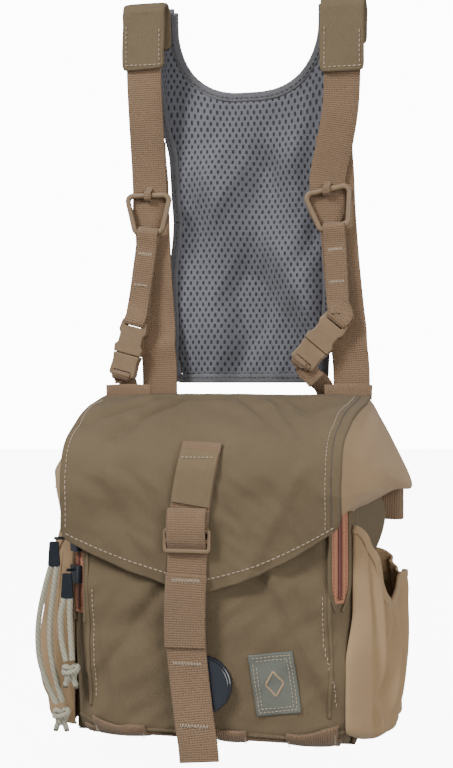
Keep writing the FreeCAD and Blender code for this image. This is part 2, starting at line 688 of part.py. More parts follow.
def check_and_write():
    """Stop on any failed object or bad shape, then write one STEP file per sub-part."""
    doc.recompute()
    for item in doc.Objects:
        if "Invalid" in item.State or "Error" in item.State:
            raise RuntimeError(f"{item.Label} failed: {item.State}")
    for item in subparts:
        if item.Shape.isNull() or not item.Shape.isValid() or item.Shape.Volume <= 0:
            raise RuntimeError(f"{item.Label} has no sound shape")
    os.makedirs("parts", exist_ok=True)
    for item in subparts:
        item.Shape.exportStep(f"parts/{item.Label}.step")
    print(len(subparts), "sub-parts written")


make_walls()
make_front_pocket()
make_zip()
make_trim()
make_flap()
make_closure()
make_zip_slider("upper", -366, -103.8)
make_zip_slider("lower", -386, -95)
for cord_name, cord_route in CORD_ROUTES.items():
    make_cord(cord_name, cord_route)
for knot_name, knot_centre in KNOTS.items():
    make_knot(knot_name, knot_centre)
make_yoke()
for side_name, side_sign in (("left", -1), ("right", 1)):
    make_side_pocket(side_name, side_sign)
    make_loops(side_name, side_sign)
    make_shoulder(side_name, side_sign)
for chain_name, ring_x, ring_lean, strap_lean_angle, buckle_lean in CHAINS:
    ring_top = Vector(ring_x, size("chain_y"), size("ring_z"))
    make_ring(chain_name, ring_top, ring_lean)
    ring_foot = below(ring_top, ring_lean, size("ring_drop"))
    make_buckle(chain_name, ring_foot, strap_lean_angle, buckle_lean)
check_and_write()
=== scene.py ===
"""Looks of the binocular harness pack: soft goods, webbing, cords and materials round the fixed CAD frame."""
import math
import bpy
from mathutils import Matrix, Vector, noise


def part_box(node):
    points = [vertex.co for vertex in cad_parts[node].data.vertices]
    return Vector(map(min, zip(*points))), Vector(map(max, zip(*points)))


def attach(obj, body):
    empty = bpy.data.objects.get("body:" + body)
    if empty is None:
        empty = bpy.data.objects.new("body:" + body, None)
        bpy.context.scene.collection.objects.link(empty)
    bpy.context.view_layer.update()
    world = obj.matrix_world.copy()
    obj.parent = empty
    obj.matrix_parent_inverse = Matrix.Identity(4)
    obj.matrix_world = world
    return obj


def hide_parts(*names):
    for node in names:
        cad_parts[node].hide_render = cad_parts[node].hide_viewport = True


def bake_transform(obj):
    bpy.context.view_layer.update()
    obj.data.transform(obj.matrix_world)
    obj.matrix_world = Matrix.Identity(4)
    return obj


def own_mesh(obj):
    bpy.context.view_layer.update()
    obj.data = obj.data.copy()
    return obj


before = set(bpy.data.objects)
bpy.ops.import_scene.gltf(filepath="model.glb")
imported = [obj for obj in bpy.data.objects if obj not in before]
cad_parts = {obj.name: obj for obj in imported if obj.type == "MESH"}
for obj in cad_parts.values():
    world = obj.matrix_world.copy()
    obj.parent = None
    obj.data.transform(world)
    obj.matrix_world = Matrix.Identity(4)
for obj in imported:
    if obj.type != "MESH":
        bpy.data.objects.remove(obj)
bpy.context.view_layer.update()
MM = 0.001
TAU = 2 * math.pi
SIDES = (("left", -1), ("right", 1))


def mm(x, y, z):
    """A point given in millimetres."""
    return Vector((x, y, z)) * MM


def box(node):
    """Lowest and highest corner of a CAD node, in millimetres."""
    low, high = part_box(node)
    return Vector(low) / MM, Vector(high) / MM


def mix(a, b, t):
    """Straight mix of two numbers."""
    return a + (b - a) * t


def clamped(t):
    """A number kept between 0 and 1."""
    return min(max(t, 0.0), 1.0)


def ease(t):
    """Smooth step from 0 to 1."""
    t = clamped(t)
    return t * t * (3 - 2 * t)


def bell(distance, width):
    """A bell-shaped swell, 1 where the distance is nothing."""
    return math.exp(-(distance / width) ** 2)


def ripple(x, y, z, seed):
    """Smooth noise from -1 to 1, the same on each run."""
    return noise.noise(Vector((x, y, z + seed * 17.3)))


def distances(points):
    """Distance travelled at each point of a path."""
    travelled = [0.0]
    for a, b in zip(points, points[1:]):
        travelled.append(travelled[-1] + math.dist(a, b))
    return travelled


def linked(name, data):
    """A new object with this data, in the scene."""
    piece = bpy.data.objects.new(name, data)
    bpy.context.scene.collection.objects.link(piece)
    return piece


def smooth(points, count):
    """Catmull-Rom samples through points, which are tuples of any length."""
    last = len(points) - 1
    samples = []
    for step in range(count + 1):
        place = step / count * last
        index = min(int(place), last - 1)
        t = place - index
        before, start, end, after = (points[min(max(index + k, 0), last)] for k in (-1, 0, 1, 2))
        samples.append(tuple(
            b + ((c - a) * t + (2 * a - 5 * b + 4 * c - d) * t ** 2 + (3 * b - a - 3 * c + d) * t ** 3) / 2
            for a, b, c, d in zip(before, start, end, after)))
    return samples


def along(samples, t):
    """A point part of the way along a list of samples."""
    place = clamped(t) * (len(samples) - 1)
    index = min(int(place), len(samples) - 2)
    return tuple(mix(a, b, place - index) for a, b in zip(samples[index], samples[index + 1]))


# ---------------------------------------------------------------- camera, light and floor

VIEW_AZIMUTH = math.radians(12.6)
VIEW_DISTANCE = 0.869
VIEW_POINT = mm(-4.5, -34, -265)
LENS = 41.03
SENSOR = 24
FLOOR_Z = -0.512
WHITE = (1, 1, 1, 1)
OFF_WHITE = (0.9, 0.9, 0.9)


def make_camera():
    """Camera level with the top of the pack, a little to its right."""
    camera = bpy.data.cameras.new("camera")
    camera.sensor_fit = "VERTICAL"
    camera.sensor_height = SENSOR
    camera.lens = LENS
    camera.clip_start = 0.01
    holder = linked("camera", camera)
    back = Vector((math.sin(VIEW_AZIMUTH), -math.cos(VIEW_AZIMUTH), 0))
    holder.location = VIEW_POINT + back * VIEW_DISTANCE
    holder.rotation_euler = (math.radians(90), 0, VIEW_AZIMUTH)
    bpy.context.scene.camera = holder


def area_light(name, place, size, power, target):
    """A soft square light aimed at a point."""
    light = bpy.data.lights.new(name, "AREA")
    light.size = size
    light.energy = power
    holder = linked(name, light)
    holder.location = place
    holder.rotation_euler = (Vector(target) - Vector(place)).to_track_quat("-Z", "Y").to_euler()


def make_studio():
    """Pale floor, pale surroundings and three soft lights."""
    world = bpy.data.worlds.new("surroundings")
    world.use_nodes = True
    sky = world.node_tree.nodes["Background"].inputs
    sky["Color"].default_value = WHITE
    sky["Strength"].default_value = 0.40
    bpy.context.scene.world = world
    middle = mm(0, -30, -300)
    area_light("key", (-1.0, -1.25, 0.95), 0.55, 40, middle)
    area_light("fill", (1.5, -1.4, -0.1), 1.2, 30, middle)
    area_light("rim", (0.3, 1.2, 0.9), 1.0, 8, middle)
    bpy.ops.mesh.primitive_plane_add(size=9, location=(0, 0, FLOOR_Z))
    floor = bpy.context.object
    floor.name = "floor"
    bpy.ops.mesh.primitive_uv_sphere_add(segments=48, ring_count=24, radius=4.2, location=(0, 0, 0))
    dome = bpy.context.object
    dome.name = "backdrop"
    dome.visible_shadow = False
    for piece, glow in ((floor, 9.0), (dome, 12.0)):
        piece.data.materials.append(plain(piece.name, OFF_WHITE, 0.9))
        piece.visible_diffuse = False
        piece.visible_glossy = False
        shader = piece.data.materials[0].node_tree.nodes["Principled BSDF"].inputs
        shader["Emission Color"].default_value = WHITE
        shader["Emission Strength"].default_value = glow


# ---------------------------------------------------------------- materials

class Graph:
    """A material's node tree, with short calls for the nodes used here."""

    def __init__(self, name):
        """Start a material with only its shader."""
        self.material = bpy.data.materials.new(name)
        self.material.use_nodes = True
        self.tree = self.material.node_tree
        self.shader = self.tree.nodes["Principled BSDF"]

    def link(self, value, socket):
        """Join an output to a socket, or set the socket to a plain value."""
        if isinstance(value, bpy.types.NodeSocket):
            self.tree.links.new(value, socket)
        else:
            socket.default_value = value

    def math(self, operation, a, b=0.0, c=0.0):
        """A math node."""
        node = self.tree.nodes.new("ShaderNodeMath")
        node.operation = operation
        for value, socket in zip((a, b, c), node.inputs):
            self.link(value, socket)
        return node.outputs[0]

    def times(self, a, b, plus=0.0):
        """The product of two values, plus a third."""
        return self.math("MULTIPLY_ADD", a, b, plus)

    def weave(self):
        """Across and along distances in metres, from the piece's own cloth map."""
        node = self.tree.nodes.new("ShaderNodeUVMap")
        node.uv_map = "cloth"
        split = self.tree.nodes.new("ShaderNodeSeparateXYZ")
        self.link(node.outputs[0], split.inputs[0])
        return split.outputs[0], split.outputs[1]

    def place(self):
        """Position on the object at rest."""
        return self.tree.nodes.new("ShaderNodeTexCoord").outputs["Object"]

    def noise(self, scale, detail=3.0, stretch=(1, 1, 1)):
        """Noise from 0 to 1 over the object's own position."""
        mapping = self.tree.nodes.new("ShaderNodeMapping")
        self.link(self.place(), mapping.inputs["Vector"])
        mapping.inputs["Scale"].default_value = stretch
        node = self.tree.nodes.new("ShaderNodeTexNoise")
        self.link(mapping.outputs[0], node.inputs["Vector"])
        node.inputs["Scale"].default_value = scale
        node.inputs["Detail"].default_value = detail
        node.inputs["Roughness"].default_value = 0.55
        return node.outputs["Fac"]

    def wave(self, distance, pitch):
        """A sine of a distance, -1 to 1, with a pitch in millimetres."""
        return self.math("SINE", self.times(distance, TAU / (pitch * MM)))

    def blend(self, factor, first, second):
        """Mix of two colours."""
        node = self.tree.nodes.new("ShaderNodeMix")
        node.data_type = "RGBA"
        self.link(factor, node.inputs[0])
        for value, socket in ((first, node.inputs[6]), (second, node.inputs[7])):
            if isinstance(value, tuple):
                value = (*value, 1.0)
            self.link(value, socket)
        return node.outputs[2]

    def shades(self, factor, colour, dark, light):
        """A colour between two of its shades."""
        return self.blend(factor, *(tuple(channel * share for channel in colour) for share in (dark, light)))

    def clamp(self, value, low, high):
        """Rescale low..high to 0..1 and clamp."""
        node = self.tree.nodes.new("ShaderNodeMapRange")
        self.link(value, node.inputs[0])
        node.inputs[1].default_value = low
        node.inputs[2].default_value = high
        return node.outputs[0]

    def finish(self, colour, height, depth, roughness, sheen=0.0, metallic=0.0, coat=0.0):
        """Feed the shader: colour, bump of a depth in millimetres, and constant settings."""
        self.link(colour, self.shader.inputs["Base Color"])
        bump = self.tree.nodes.new("ShaderNodeBump")
        self.link(height, bump.inputs["Height"])
        bump.inputs["Distance"].default_value = depth * MM
        bump.inputs["Strength"].default_value = 1.0
        for socket, value in (("Normal", bump.outputs[0]), ("Roughness", roughness), ("Sheen Weight", sheen),
                              ("Sheen Roughness", 0.5), ("Metallic", metallic), ("Coat Weight", coat),
                              ("Coat Roughness", 0.12)):
            self.link(value, self.shader.inputs[socket])
        return self.material


def plain(name, colour, roughness):
    """Finely mottled plain surface."""
    graph = Graph(name)
    spots = graph.noise(40.0)
    mixed = graph.shades(spots, colour, 0.97, 1.03)
    return graph.finish(mixed, spots, 0.05, roughness)


def woven(name, colour, pitch, depth, contrast, sheen=0.03, slub=0.4):
    """Plain-woven cloth: over-and-under threads, slubs, and soft fading."""
    graph = Graph(name)
    across, length = graph.weave()
    threads = graph.times(graph.wave(across, pitch), graph.wave(length, pitch))
    fine = graph.noise(900.0, 2.0, (1, 1, 0.35))
    fade = graph.noise(16.0, 4.0)
    blotch = graph.noise(75.0, 3.0)
    tone = graph.times(threads, contrast, graph.times(fine, slub))
    tone = graph.times(fade, 0.55, tone)
    tone = graph.times(blotch, 0.25, tone)
    mixed = graph.shades(graph.clamp(tone, 0.15, 1.0), colour, 0.74, 1.24)
    return graph.finish(mixed, graph.times(fine, 0.6, threads), depth, 0.86, sheen)


def ribbed(name, colour, rib=1.45, rows=1.7):
    """Woven webbing: crosswise ribs and lengthwise cords."""
    graph = Graph(name)
    across, length = graph.weave()
    ribs = graph.wave(length, rib)
    cords = graph.wave(across, rows)
    weave = graph.times(graph.times(ribs, cords), 0.8, ribs)
    fuzz = graph.noise(1100.0, 2.0)
    fade = graph.noise(24.0, 3.0)
    tone = graph.times(weave, 0.13, graph.times(fuzz, 0.35))
    tone = graph.times(fade, 0.55, tone)
    mixed = graph.shades(graph.clamp(tone, 0.1, 0.95), colour, 0.68, 1.3)
    return graph.finish(mixed, graph.times(fuzz, 0.5, weave), 0.13, 0.8, 0.15)


def spacer_mesh(name, colour):
    """Spacer mesh: staggered upright oval holes in a knitted face, the holes painted near-black as shade
    inside them.
    """
    graph = Graph(name)
    across, length = graph.weave()
    columns = graph.math("COSINE", graph.times(across, TAU / (4.4 * MM)))
    rows = graph.math("COSINE", graph.times(length, TAU / (7.6 * MM)))
    lattice = graph.times(columns, rows)
    shaded_hole = graph.clamp(lattice, 0.30, 0.58)
    knit = graph.noise(1300.0, 2.0, (1, 1, 0.5))
    fade = graph.noise(20.0, 3.0)
    tone = graph.times(knit, 0.6, graph.times(fade, 0.5))
    face = graph.shades(tone, colour, 0.72, 1.28)
    # painted shade: the holes are only coloured, not cut; their near-black stands for the shade inside them
    mixed = graph.blend(shaded_hole, face, (0.018, 0.018, 0.024))
    return graph.finish(mixed, graph.times(knit, 0.25, graph.times(shaded_hole, -1.0)), 0.9, 0.78, 0.2)


def moulded(name, colour, roughness, coat=0.0, metallic=0.0, grain=260.0, wear=0.25):
    """Moulded or coated hard surface with fine grain and rubbed, lighter patches."""
    graph = Graph(name)
    spots = graph.noise(grain, 4.0)
    rub = graph.clamp(graph.noise(60.0, 5.0), 0.52, 0.8)
    base = graph.shades(spots, colour, 0.86, 1.16)
    rubbed = tuple(channel * 1.9 for channel in colour)
    mixed = graph.blend(graph.times(rub, wear), base, rubbed)
    rough = graph.times(spots, 0.16, roughness - 0.08)
    return graph.finish(mixed, spots, 0.05, rough, 0.0, metallic, coat)


def braided(name, colour, pitch):
    """Braided cord: crossing strands wrapped round."""
    graph = Graph(name)
    wave = graph.tree.nodes.new("ShaderNodeTexWave")
    wave.bands_direction = "DIAGONAL"
    graph.link(graph.place(), wave.inputs["Vector"])
    wave.inputs["Scale"].default_value = 1.0 / (pitch * MM) / 3.2
    wave.inputs["Distortion"].default_value = 1.2
    fuzz = graph.noise(1500.0, 2.0)
    tone = graph.times(wave.outputs["Fac"], 0.6, graph.times(fuzz, 0.5))
    mixed = graph.shades(tone, colour, 0.6, 1.25)
    return graph.finish(mixed, tone, 0.25, 0.85, 0.4)


OLIVE = (0.140, 0.101, 0.054)
TAN = (0.365, 0.242, 0.128)
COYOTE = (0.207, 0.128, 0.071)
MATERIALS = {
    "cordura": woven("olive_cordura", OLIVE, 1.1, 0.10, 0.16),
    "stretch": woven("tan_stretch", TAN, 0.8, 0.05, 0.06, 0.15, 0.25),
    "webbing": ribbed("coyote_webbing", COYOTE),
    "tape": woven("light_olive_tape", (0.176, 0.124, 0.068), 0.8, 0.06, 0.10),
    "mesh": spacer_mesh("grey_spacer_mesh", (0.122, 0.125, 0.145)),
    "binding": woven("grey_binding", (0.122, 0.121, 0.131), 0.9, 0.08, 0.12),
    "hardware": moulded("coyote_acetal", (0.205, 0.136, 0.078), 0.42),
    "zip_tape": woven("terracotta_tape", (0.46, 0.20, 0.115), 0.9, 0.06, 0.12),
    "zip_coil": moulded("red_brown_coil", (0.13, 0.035, 0.025), 0.35),
    "gunmetal": moulded("gunmetal", (0.035, 0.042, 0.055), 0.32, 0.2, 0.75),
    "magnet": moulded("dark_gloss", (0.016, 0.020, 0.030), 0.16, 0.7, 0.0, 120.0, 0.08),
    "cord": braided("khaki_cord", (0.36, 0.34, 0.25), 1.6),
    "patch": woven("label_cloth", (0.135, 0.142, 0.118), 0.7, 0.05, 0.12),
    "motif": woven("label_motif", (0.36, 0.26, 0.155), 0.7, 0.05, 0.12),
    "thread": braided("pale_thread", (0.52, 0.41, 0.29), 0.7),
    "lining_foam": moulded("foam", (0.055, 0.055, 0.058), 0.9, 0.0, 0.0, 700.0, 0.1),
    "melted": moulded("melted_cord_end", (0.10, 0.08, 0.055), 0.3),
}
for key, finish in MATERIALS.items():
    if key not in ("motif", "thread", "melted", "tape"):
        finish["slot"] = key


# ---------------------------------------------------------------- builders

def new_object(name, vertices, faces, material, body, maps=None, nodes=()):
    """A smooth mesh piece from points in millimetres; maps holds each vertex's place on the cloth."""
    mesh = bpy.data.meshes.new(name)
    mesh.from_pydata([Vector(point) * MM for point in vertices], [], faces)
    piece = linked(name, mesh)
    mesh.materials.append(MATERIALS[material])
    layer = mesh.uv_layers.new(name="cloth")
    for corner in mesh.loops if maps else ():
        layer.data[corner.index].uv = maps[corner.vertex_index]
    mesh.shade_smooth()
    settle(piece, body, nodes)
    return piece


def settle(piece, body, nodes=()):
    """Ride on a body, and stand for CAD nodes."""
    if body:
        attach(piece, body)
    if nodes:
        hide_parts(*nodes)


def layers(across, down, sign):
    """Faces of two grids of points, one behind the other, joined round the rim."""
    row = across + 1
    count = row * (down + 1)
    faces = []
    for j in range(down):
        for i in range(across):
            a = j * row + i
            faces.append((a, a + 1, a + row + 1, a + row)[::sign])
            faces.append((a + count, a + row + count, a + row + 1 + count, a + 1 + count)[::sign])
    rim = [*range(row)] + [row * j + across for j in range(1, down + 1)]
    rim += [row * down + i for i in range(across - 1, -1, -1)] + [row * j for j in range(down - 1, 0, -1)]
    for a, b in zip(rim, rim[1:] + rim[:1]):
        faces.append((a, a + count, b + count, b)[::sign])
    return faces


def prism(base, rings, size):
    """Faces joining rings of points one to the next, with a cap at each end."""
    faces = []
    for start in range(base, base + (rings - 1) * size, size):
        for k in range(size):
            n = (k + 1) % size
            faces.append((start + k, start + n, start + size + n, start + size + k))
    faces.append(tuple(range(base, base + size))[::-1])
    faces.append(tuple(range(base + (rings - 1) * size, base + rings * size)))
    return faces


def grid(name, point, counts, thick, material, body, nodes=(), out=None, along_u=False):
    """A sheet of cloth from a function of (u, v), its thickness laid inwards; along_u turns its weave."""
    across, down = counts
    outer = [[Vector(point(i / across, j / down)) for i in range(across + 1)] for j in range(down + 1)]
    normals = []
    for j in range(down + 1):
        for i in range(across + 1):
            side = outer[j][min(i + 1, across)] - outer[j][max(i - 1, 0)]
            fall = outer[min(j + 1, down)][i] - outer[max(j - 1, 0)][i]
            normal = side.cross(fall)
            normals.append(normal.normalized() if normal.length > 1e-9 else Vector((0, -1, 0)))
    flat = [outer[j][i] for j in range(down + 1) for i in range(across + 1)]
    middle = (across // 2) + (down // 2) * (across + 1)
    facing = out or Vector((0, -1, 0))
    sign = 1 if normals[middle].dot(facing) > 0 else -1
    inner = [p - n * sign * thick for p, n in zip(flat, normals)]
    wide = distances(outer[down // 2])[-1] * MM
    tall = distances([line[across // 2] for line in outer])[-1] * MM
    maps = [(i / across * wide, j / down * tall) for j in range(down + 1) for i in range(across + 1)]
    if along_u:
        maps = [(b, a) for a, b in maps]
    return new_object(name, flat + inner, layers(across, down, sign), material, body, maps + maps, nodes)


def squared(value):
    """A sine or cosine pushed out towards its ends, for a rounded rectangle."""
    return 0.5 * math.copysign(abs(value) ** 0.45, value)


# outlines of a band's cross-section, as shares of its width and thickness
HALF_FLAT = ((-0.5, -0.28), (-0.47, -0.5), (-0.2, -0.5), (0.0, -0.5), (0.2, -0.5), (0.47, -0.5), (0.5, -0.28))
FLAT = HALF_FLAT + tuple((-u, -w) for u, w in HALF_FLAT)
PUFFED = tuple((squared(math.cos(TAU * k / 28)), -squared(math.sin(TAU * k / 28))) for k in range(28, 0, -1))


def band(name, path, across, wide, thick, material, body, nodes=(), count=60, profile=FLAT, taper=None):
    """Webbing along a path, across giving its width's direction and taper its share of the width at 0..1."""
    centres = [Vector(p) for p in smooth(path, count)]
    spans = smooth(across, count) if isinstance(across, list) else [across] * (count + 1)
    vertices = []
    maps = []
    travelled = distances(centres)
    for index, centre in enumerate(centres):
        ahead = (centres[min(index + 1, count)] - centres[max(index - 1, 0)]).normalized()
        span = Vector(spans[index])
        span = (span - ahead * span.dot(ahead)).normalized()
        normal = span.cross(ahead)
        share = taper(index / count) if taper else 1.0
        for u, w in profile:
            vertices.append(centre + span * u * wide * share + normal * w * thick)
            maps.append((u * wide * share * MM, travelled[index] * MM))
    faces = prism(0, count + 1, len(profile))
    return new_object(name, vertices, faces, material, body, maps, nodes)


def stitches(name, path, pitch, length, radius, body, material="thread"):
    """Raised stitches laid one after another along a dense path in millimetres."""
    vertices = []
    faces = []
    points = [Vector(p) for p in path]
    travelled = distances(points)
    sides = 6
    rings = ((-0.5, 0.25), (-0.36, 0.9), (0.0, 1.0), (0.36, 0.9), (0.5, 0.25))
    for number in range(int((travelled[-1] - length) / pitch) + 1):
        middle = length / 2 + number * pitch
        index = max(k for k, d in enumerate(travelled[:-1]) if d <= middle)
        ahead = (points[index + 1] - points[index]).normalized()
        centre = points[index] + ahead * (middle - travelled[index])
        other = ahead.orthogonal().normalized()
        third = ahead.cross(other)
        faces += prism(len(vertices), len(rings), sides)
        for place, swell in rings:
            for turn in (TAU * k / sides for k in range(sides)):
                round_it = other * math.cos(turn) + third * math.sin(turn)
                vertices.append(centre + ahead * place * length + round_it * radius * swell)
    return new_object(name, vertices, faces, material, body)


THREAD = 0.33
TACK_PITCH = 0.9


def tack(name, centre, across, along_way, wide, body, tall=2.2):
    """A bar tack: a close row of short upright stitches across webbing."""
    start = centre - across * wide / 2
    count = int(wide / TACK_PITCH)
    vertices = []
    faces = []
    normal = across.cross(along_way).normalized()
    for k in range(count + 1):
        foot = start + across * (wide * k / count)
        lean = along_way * tall / 2 + across * 0.25 * (-1) ** k
        faces += prism(len(vertices), 3, 4)
        for end, swell in ((-1, 0.3), (0, 1.0), (1, 0.3)):
            for turn in (TAU * quarter / 4 for quarter in range(4)):
                round_it = across * math.cos(turn) + normal * math.sin(turn)
                vertices.append(foot + lean * end + round_it * THREAD * swell)
    return new_object(name, vertices, faces, "thread", body)


def on(point, places, lift):
    """Points a little off the front of a sheet, along (u, v) places on it."""
    path = []
    step = 0.004
    for u, v in places:
        side = Vector(point(min(u + step, 1), v)) - Vector(point(max(u - step, 0), v))
        fall = Vector(point(u, min(v + step, 1))) - Vector(point(u, max(v - step, 0)))
        path.append(Vector(point(u, v)) + side.cross(fall).normalized() * lift)
    return path


def relaid(name, node, voxel, move, material, body, replaced):
    """A copy of a thin CAD solid with an even mesh, its points then moved; mapped flat from the front."""
    piece = linked(name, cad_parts[node].data.copy())
    remesh = piece.modifiers.new("even", "REMESH")
    remesh.mode = "VOXEL"
    remesh.voxel_size = voxel * MM
    graph = bpy.context.evaluated_depsgraph_get()
    mesh = bpy.data.meshes.new_from_object(piece.evaluated_get(graph))
    piece.modifiers.clear()
    piece.data = mesh
    mesh.name = name
    mesh.materials.clear()
    mesh.materials.append(MATERIALS[material])
    layer = mesh.uv_layers.new(name="cloth")
    for corner in mesh.loops:
        point = mesh.vertices[corner.vertex_index].co
        layer.data[corner.index].uv = (point.x, point.z)
    for vertex in mesh.vertices:
        vertex.co = Vector(move(vertex.co / MM)) * MM
    mesh.shade_smooth()
    settle(piece, body, replaced)
    return piece


# ---------------------------------------------------------------- harness

X = Vector((1, 0, 0))
DOWN = Vector((0, 0, -1))
SHOULDER_X = 69
YOKE_LIMIT = 12.5
YOKE_LEAN = math.tan(math.radians(2.6))


def yoke_fold(point):
    """Soft folds of the hanging yoke, with a hollow down its middle; none reaches back beyond a limit."""
    x, y, z = point
    hang = ease((-z - 30) / 80) * (1 - 0.55 * ease((abs(x) - 38) / 16))
    fold = 6.5 * ripple((x + 0.45 * z) / 26, 0, z / 120, 1) + 2.6 * ripple((x - 0.5 * z) / 15, 0, z / 46, 2)
    hollow = 9.0 * bell(x - 8 - 0.12 * (z + 150), 15) * ease((-z - 50) / 40)
    swell = -5.0 * bell(x + 24, 13) * ease((-z - 80) / 60)
    slant = 5.0 * math.sin((z + 1.1 * x) / 19) * ease((-z - 90) / 40) * ease((270 + z) / 60)
    sway = 2.0 * ripple(0, 0, z / 60, 3) * ease((-z - 90) / 100)
    upper = ease((z + 110) / 40)
    spread = max(0.0, abs(x) - 58)
    narrow = x - math.copysign(0.6 * spread * upper, x)
    rise = 9 * min(abs(x) / 50, 1.0) ** 2 * ease((z + 95) / 32)
    back = min(hang * (fold + hollow + swell + slant), YOKE_LIMIT)
    return narrow + sway, y + back, z + rise


def filleted(corners):
    """A closed outline from corners with radii, as dense points."""
    points = []
    for index, (x, z, radius) in enumerate(corners):
        here = Vector((x, z))
        before = (Vector(corners[index - 1][:2]) - here).normalized()
        after = (Vector(corners[(index + 1) % len(corners)][:2]) - here).normalized()
        half = before.angle(after) / 2
        reach = radius / math.tan(half)
        start, end = here + before * reach, here + after * reach
        for t in (k / 10 for k in range(11)):
            points.append((1 - t) ** 2 * start + 2 * t * (1 - t) * here + t * t * end)
    dense = []
    for a, b in zip(points, points[1:] + points[:1]):
        steps = max(1, int((b - a).length / 2))
        dense += [a.lerp(b, k / steps) for k in range(steps)]
    return dense + dense[:1]


def yoke_edge(inset, lift):
    """A line round the front of the yoke at a distance in from its edge."""
    neck = 50 + inset
    ear = 88 - inset
    half = [(neck, -10 - inset, 0), (ear, -10 - inset, 3), (ear - 4, -46, 20), (57 - inset, -96, 60),
            (55 - inset, -150, 0), (58 - inset, -190, 0), (56 - inset, -264 + inset, 4)]
    mirrored = [(-x, z, radius) for x, z, radius in half[::-1]]
    outline = filleted(half + mirrored + [(-neck, -62 - inset, 42), (neck, -62 - inset, 42)])
    return [Vector(yoke_fold((x, 10.8 - lift - z * YOKE_LEAN, z))) for x, z in outline]


def edging(name, edge, wide, thick, material, body, nodes, count):
    """Tape wrapped round the closed edge of an upright piece; its ends meet at the bottom."""
    start = min(range(len(edge)), key=lambda k: edge[k].z + abs(edge[k].x) / 10)
    edge = edge[start:] + edge[:start + 1]
    spans = []
    for index in range(len(edge)):
        way = edge[(index + 1) % (len(edge) - 1)] - edge[index - 1 if index else len(edge) - 2]
        spans.append(way.cross(Vector((0, 1, 0))).normalized())
    return band(name, edge, spans, wide, thick, material, body, nodes, count, PUFFED)


def make_yoke():
    """Spacer-mesh yoke, its edge wrapped in binding tape."""
    mesh = relaid("yoke_cloth", "yoke_mesh", 1.7, yoke_fold, "mesh", "harness", ("yoke_mesh",))
    edging("yoke_edging", yoke_edge(3.1, -1.5)[:-1], 6.6, 3.9, "binding", "harness", ("yoke_binding",), 620)
    stitches("yoke_stitching", yoke_edge(3.7, 1.0), 3.6, 2.4, 0.32, "harness", "mesh")


def pad_path():
    """Side view of a pad folded over the shoulder: front edge, over the top, rear edge."""
    arc = [(-9 * math.cos(a), -10.5 + 9 * math.sin(a)) for a in (k * math.pi / 10 for k in range(11))]
    return [(-9.0, -48), (-9.2, -38), (-9.0, -28), (-9.0, -18)] + arc + [(9.0, -20), (9.0, -30)]


SETTLED_BY = 20   # the frame by which the simulated cloth has come to rest


def blown(piece, held, cap, pressure=4.0):
    """Swell a closed padded piece with a cloth simulation, held at its seams; cap limits it, in mm."""
    seams = piece.vertex_groups.new(name="seams")
    before = [vertex.co.copy() for vertex in piece.data.vertices]
    for index, place in enumerate(before):
        if held(place / MM):
            seams.add([index], 1.0, "REPLACE")
    cloth = piece.modifiers.new("cloth", "CLOTH")
    cloth.settings.quality = 6
    cloth.settings.use_pressure = True
    cloth.settings.uniform_pressure_force = pressure
    cloth.settings.effector_weights.gravity = 0
    cloth.settings.vertex_group_mass = "seams"
    scene = bpy.context.scene
    for moment in range(1, SETTLED_BY + 1):
        scene.frame_set(moment)
    result = piece.evaluated_get(bpy.context.evaluated_depsgraph_get()).data
    after = [vertex.co.copy() for vertex in result.vertices]
    piece.modifiers.remove(cloth)
    piece.vertex_groups.remove(seams)
    scene.frame_set(1)
    for vertex, old, new in zip(piece.data.vertices, before, after):
        move = new - old
        if move.length > cap * MM:
            move *= cap * MM / move.length
        vertex.co = old + move


PAD_LENGTH = 104


def make_pads():
    """Padded sleeves over the shoulders with a stitched edge."""
    def corners(t):
        """Share of the width near the rounded ends."""
        end = min(t, 1 - t) * PAD_LENGTH
        return 1 - 0.2 * (1 - math.sqrt(1 - clamped(1 - end / 4) ** 2))

    for name, side in SIDES:
        middle = side * SHOULDER_X
        drop = 4 if side > 0 else 0
        path = [(middle + 0.6 * ripple(y / 9, z / 14, side, 4), y,
                 z - drop * ease((-z - 18) / 26) * (y < 0) - drop) for y, z in pad_path()]
        pad = band("pad_" + name, path, X, 30, 3.6, "cordura", "harness", ("shoulder_pad_" + name,), 90,
                   PUFFED, corners)
        blown(pad, lambda place, middle=middle: abs(place.x - middle) > 12 or place.z < -44, 1.4)
        row = [(-1, -18 - k) for k in range(26)] + [(-1 + k / 10, -45) for k in range(21)]
        row += [(1, -44 + k) for k in range(26)]
        row = [(middle + share * 11.8, -11.15, z - 2 * drop) for share, z in row]
        stitches("pad_stitching_" + name, row, 3.3, 2.2, 0.32, "harness")


def make_shoulder_webbing():
    """Rear length of wide webbing, from behind each ring into the pack; it bends where the pack tilts."""
    for name, side in SIDES:
        foot = -62.5 if side < 0 else 73
        top = -SHOULDER_X if side < 0 else 62
        lane = [(mix(top, foot, share), y, z) for share, y, z in
                ((0, 3.6, -96), (0, 5.4, -108), (0.04, 9.6, -122), (0.12, 10.5, -146), (0.35, 9.9, -180),
                 (0.62, 11.6, -212), (0.80, 10.8, -228), (0.86, 8.8, -238), (0.95, 10.2, -249),
                 (1, 10.6, -262), (1, 10.6, -290))]
        piece = band("webbing_" + name, lane, X, 25, 1.5, "webbing", None, ("shoulder_webbing_" + name,), 120)
        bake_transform(piece)


def below(point, lean, distance):
    """The point a distance down a line leaning by an angle in degrees; a positive lean goes to the left."""
    turn = math.radians(lean)
    return Vector(point) + Vector((-math.sin(turn), 0, -math.cos(turn))) * distance


def lean_axis(lean):
    """Level direction across a piece that leans."""
    turn = math.radians(lean)
    return Vector((math.cos(turn), 0, -math.sin(turn)))


# name, ring's middle, then the leans of ring, strap and buckle in degrees, and the foot (x, z) of the tab
CHAINS = (("left", -69, 0, 8, 15, (-87, -263)), ("right", 57, -11, -3, 40, (50, -263)))
CHAIN_Y = 4
RING_DROP = 26.1
STRAP_DROP = 62.2
BUCKLE_DROP = 40.4


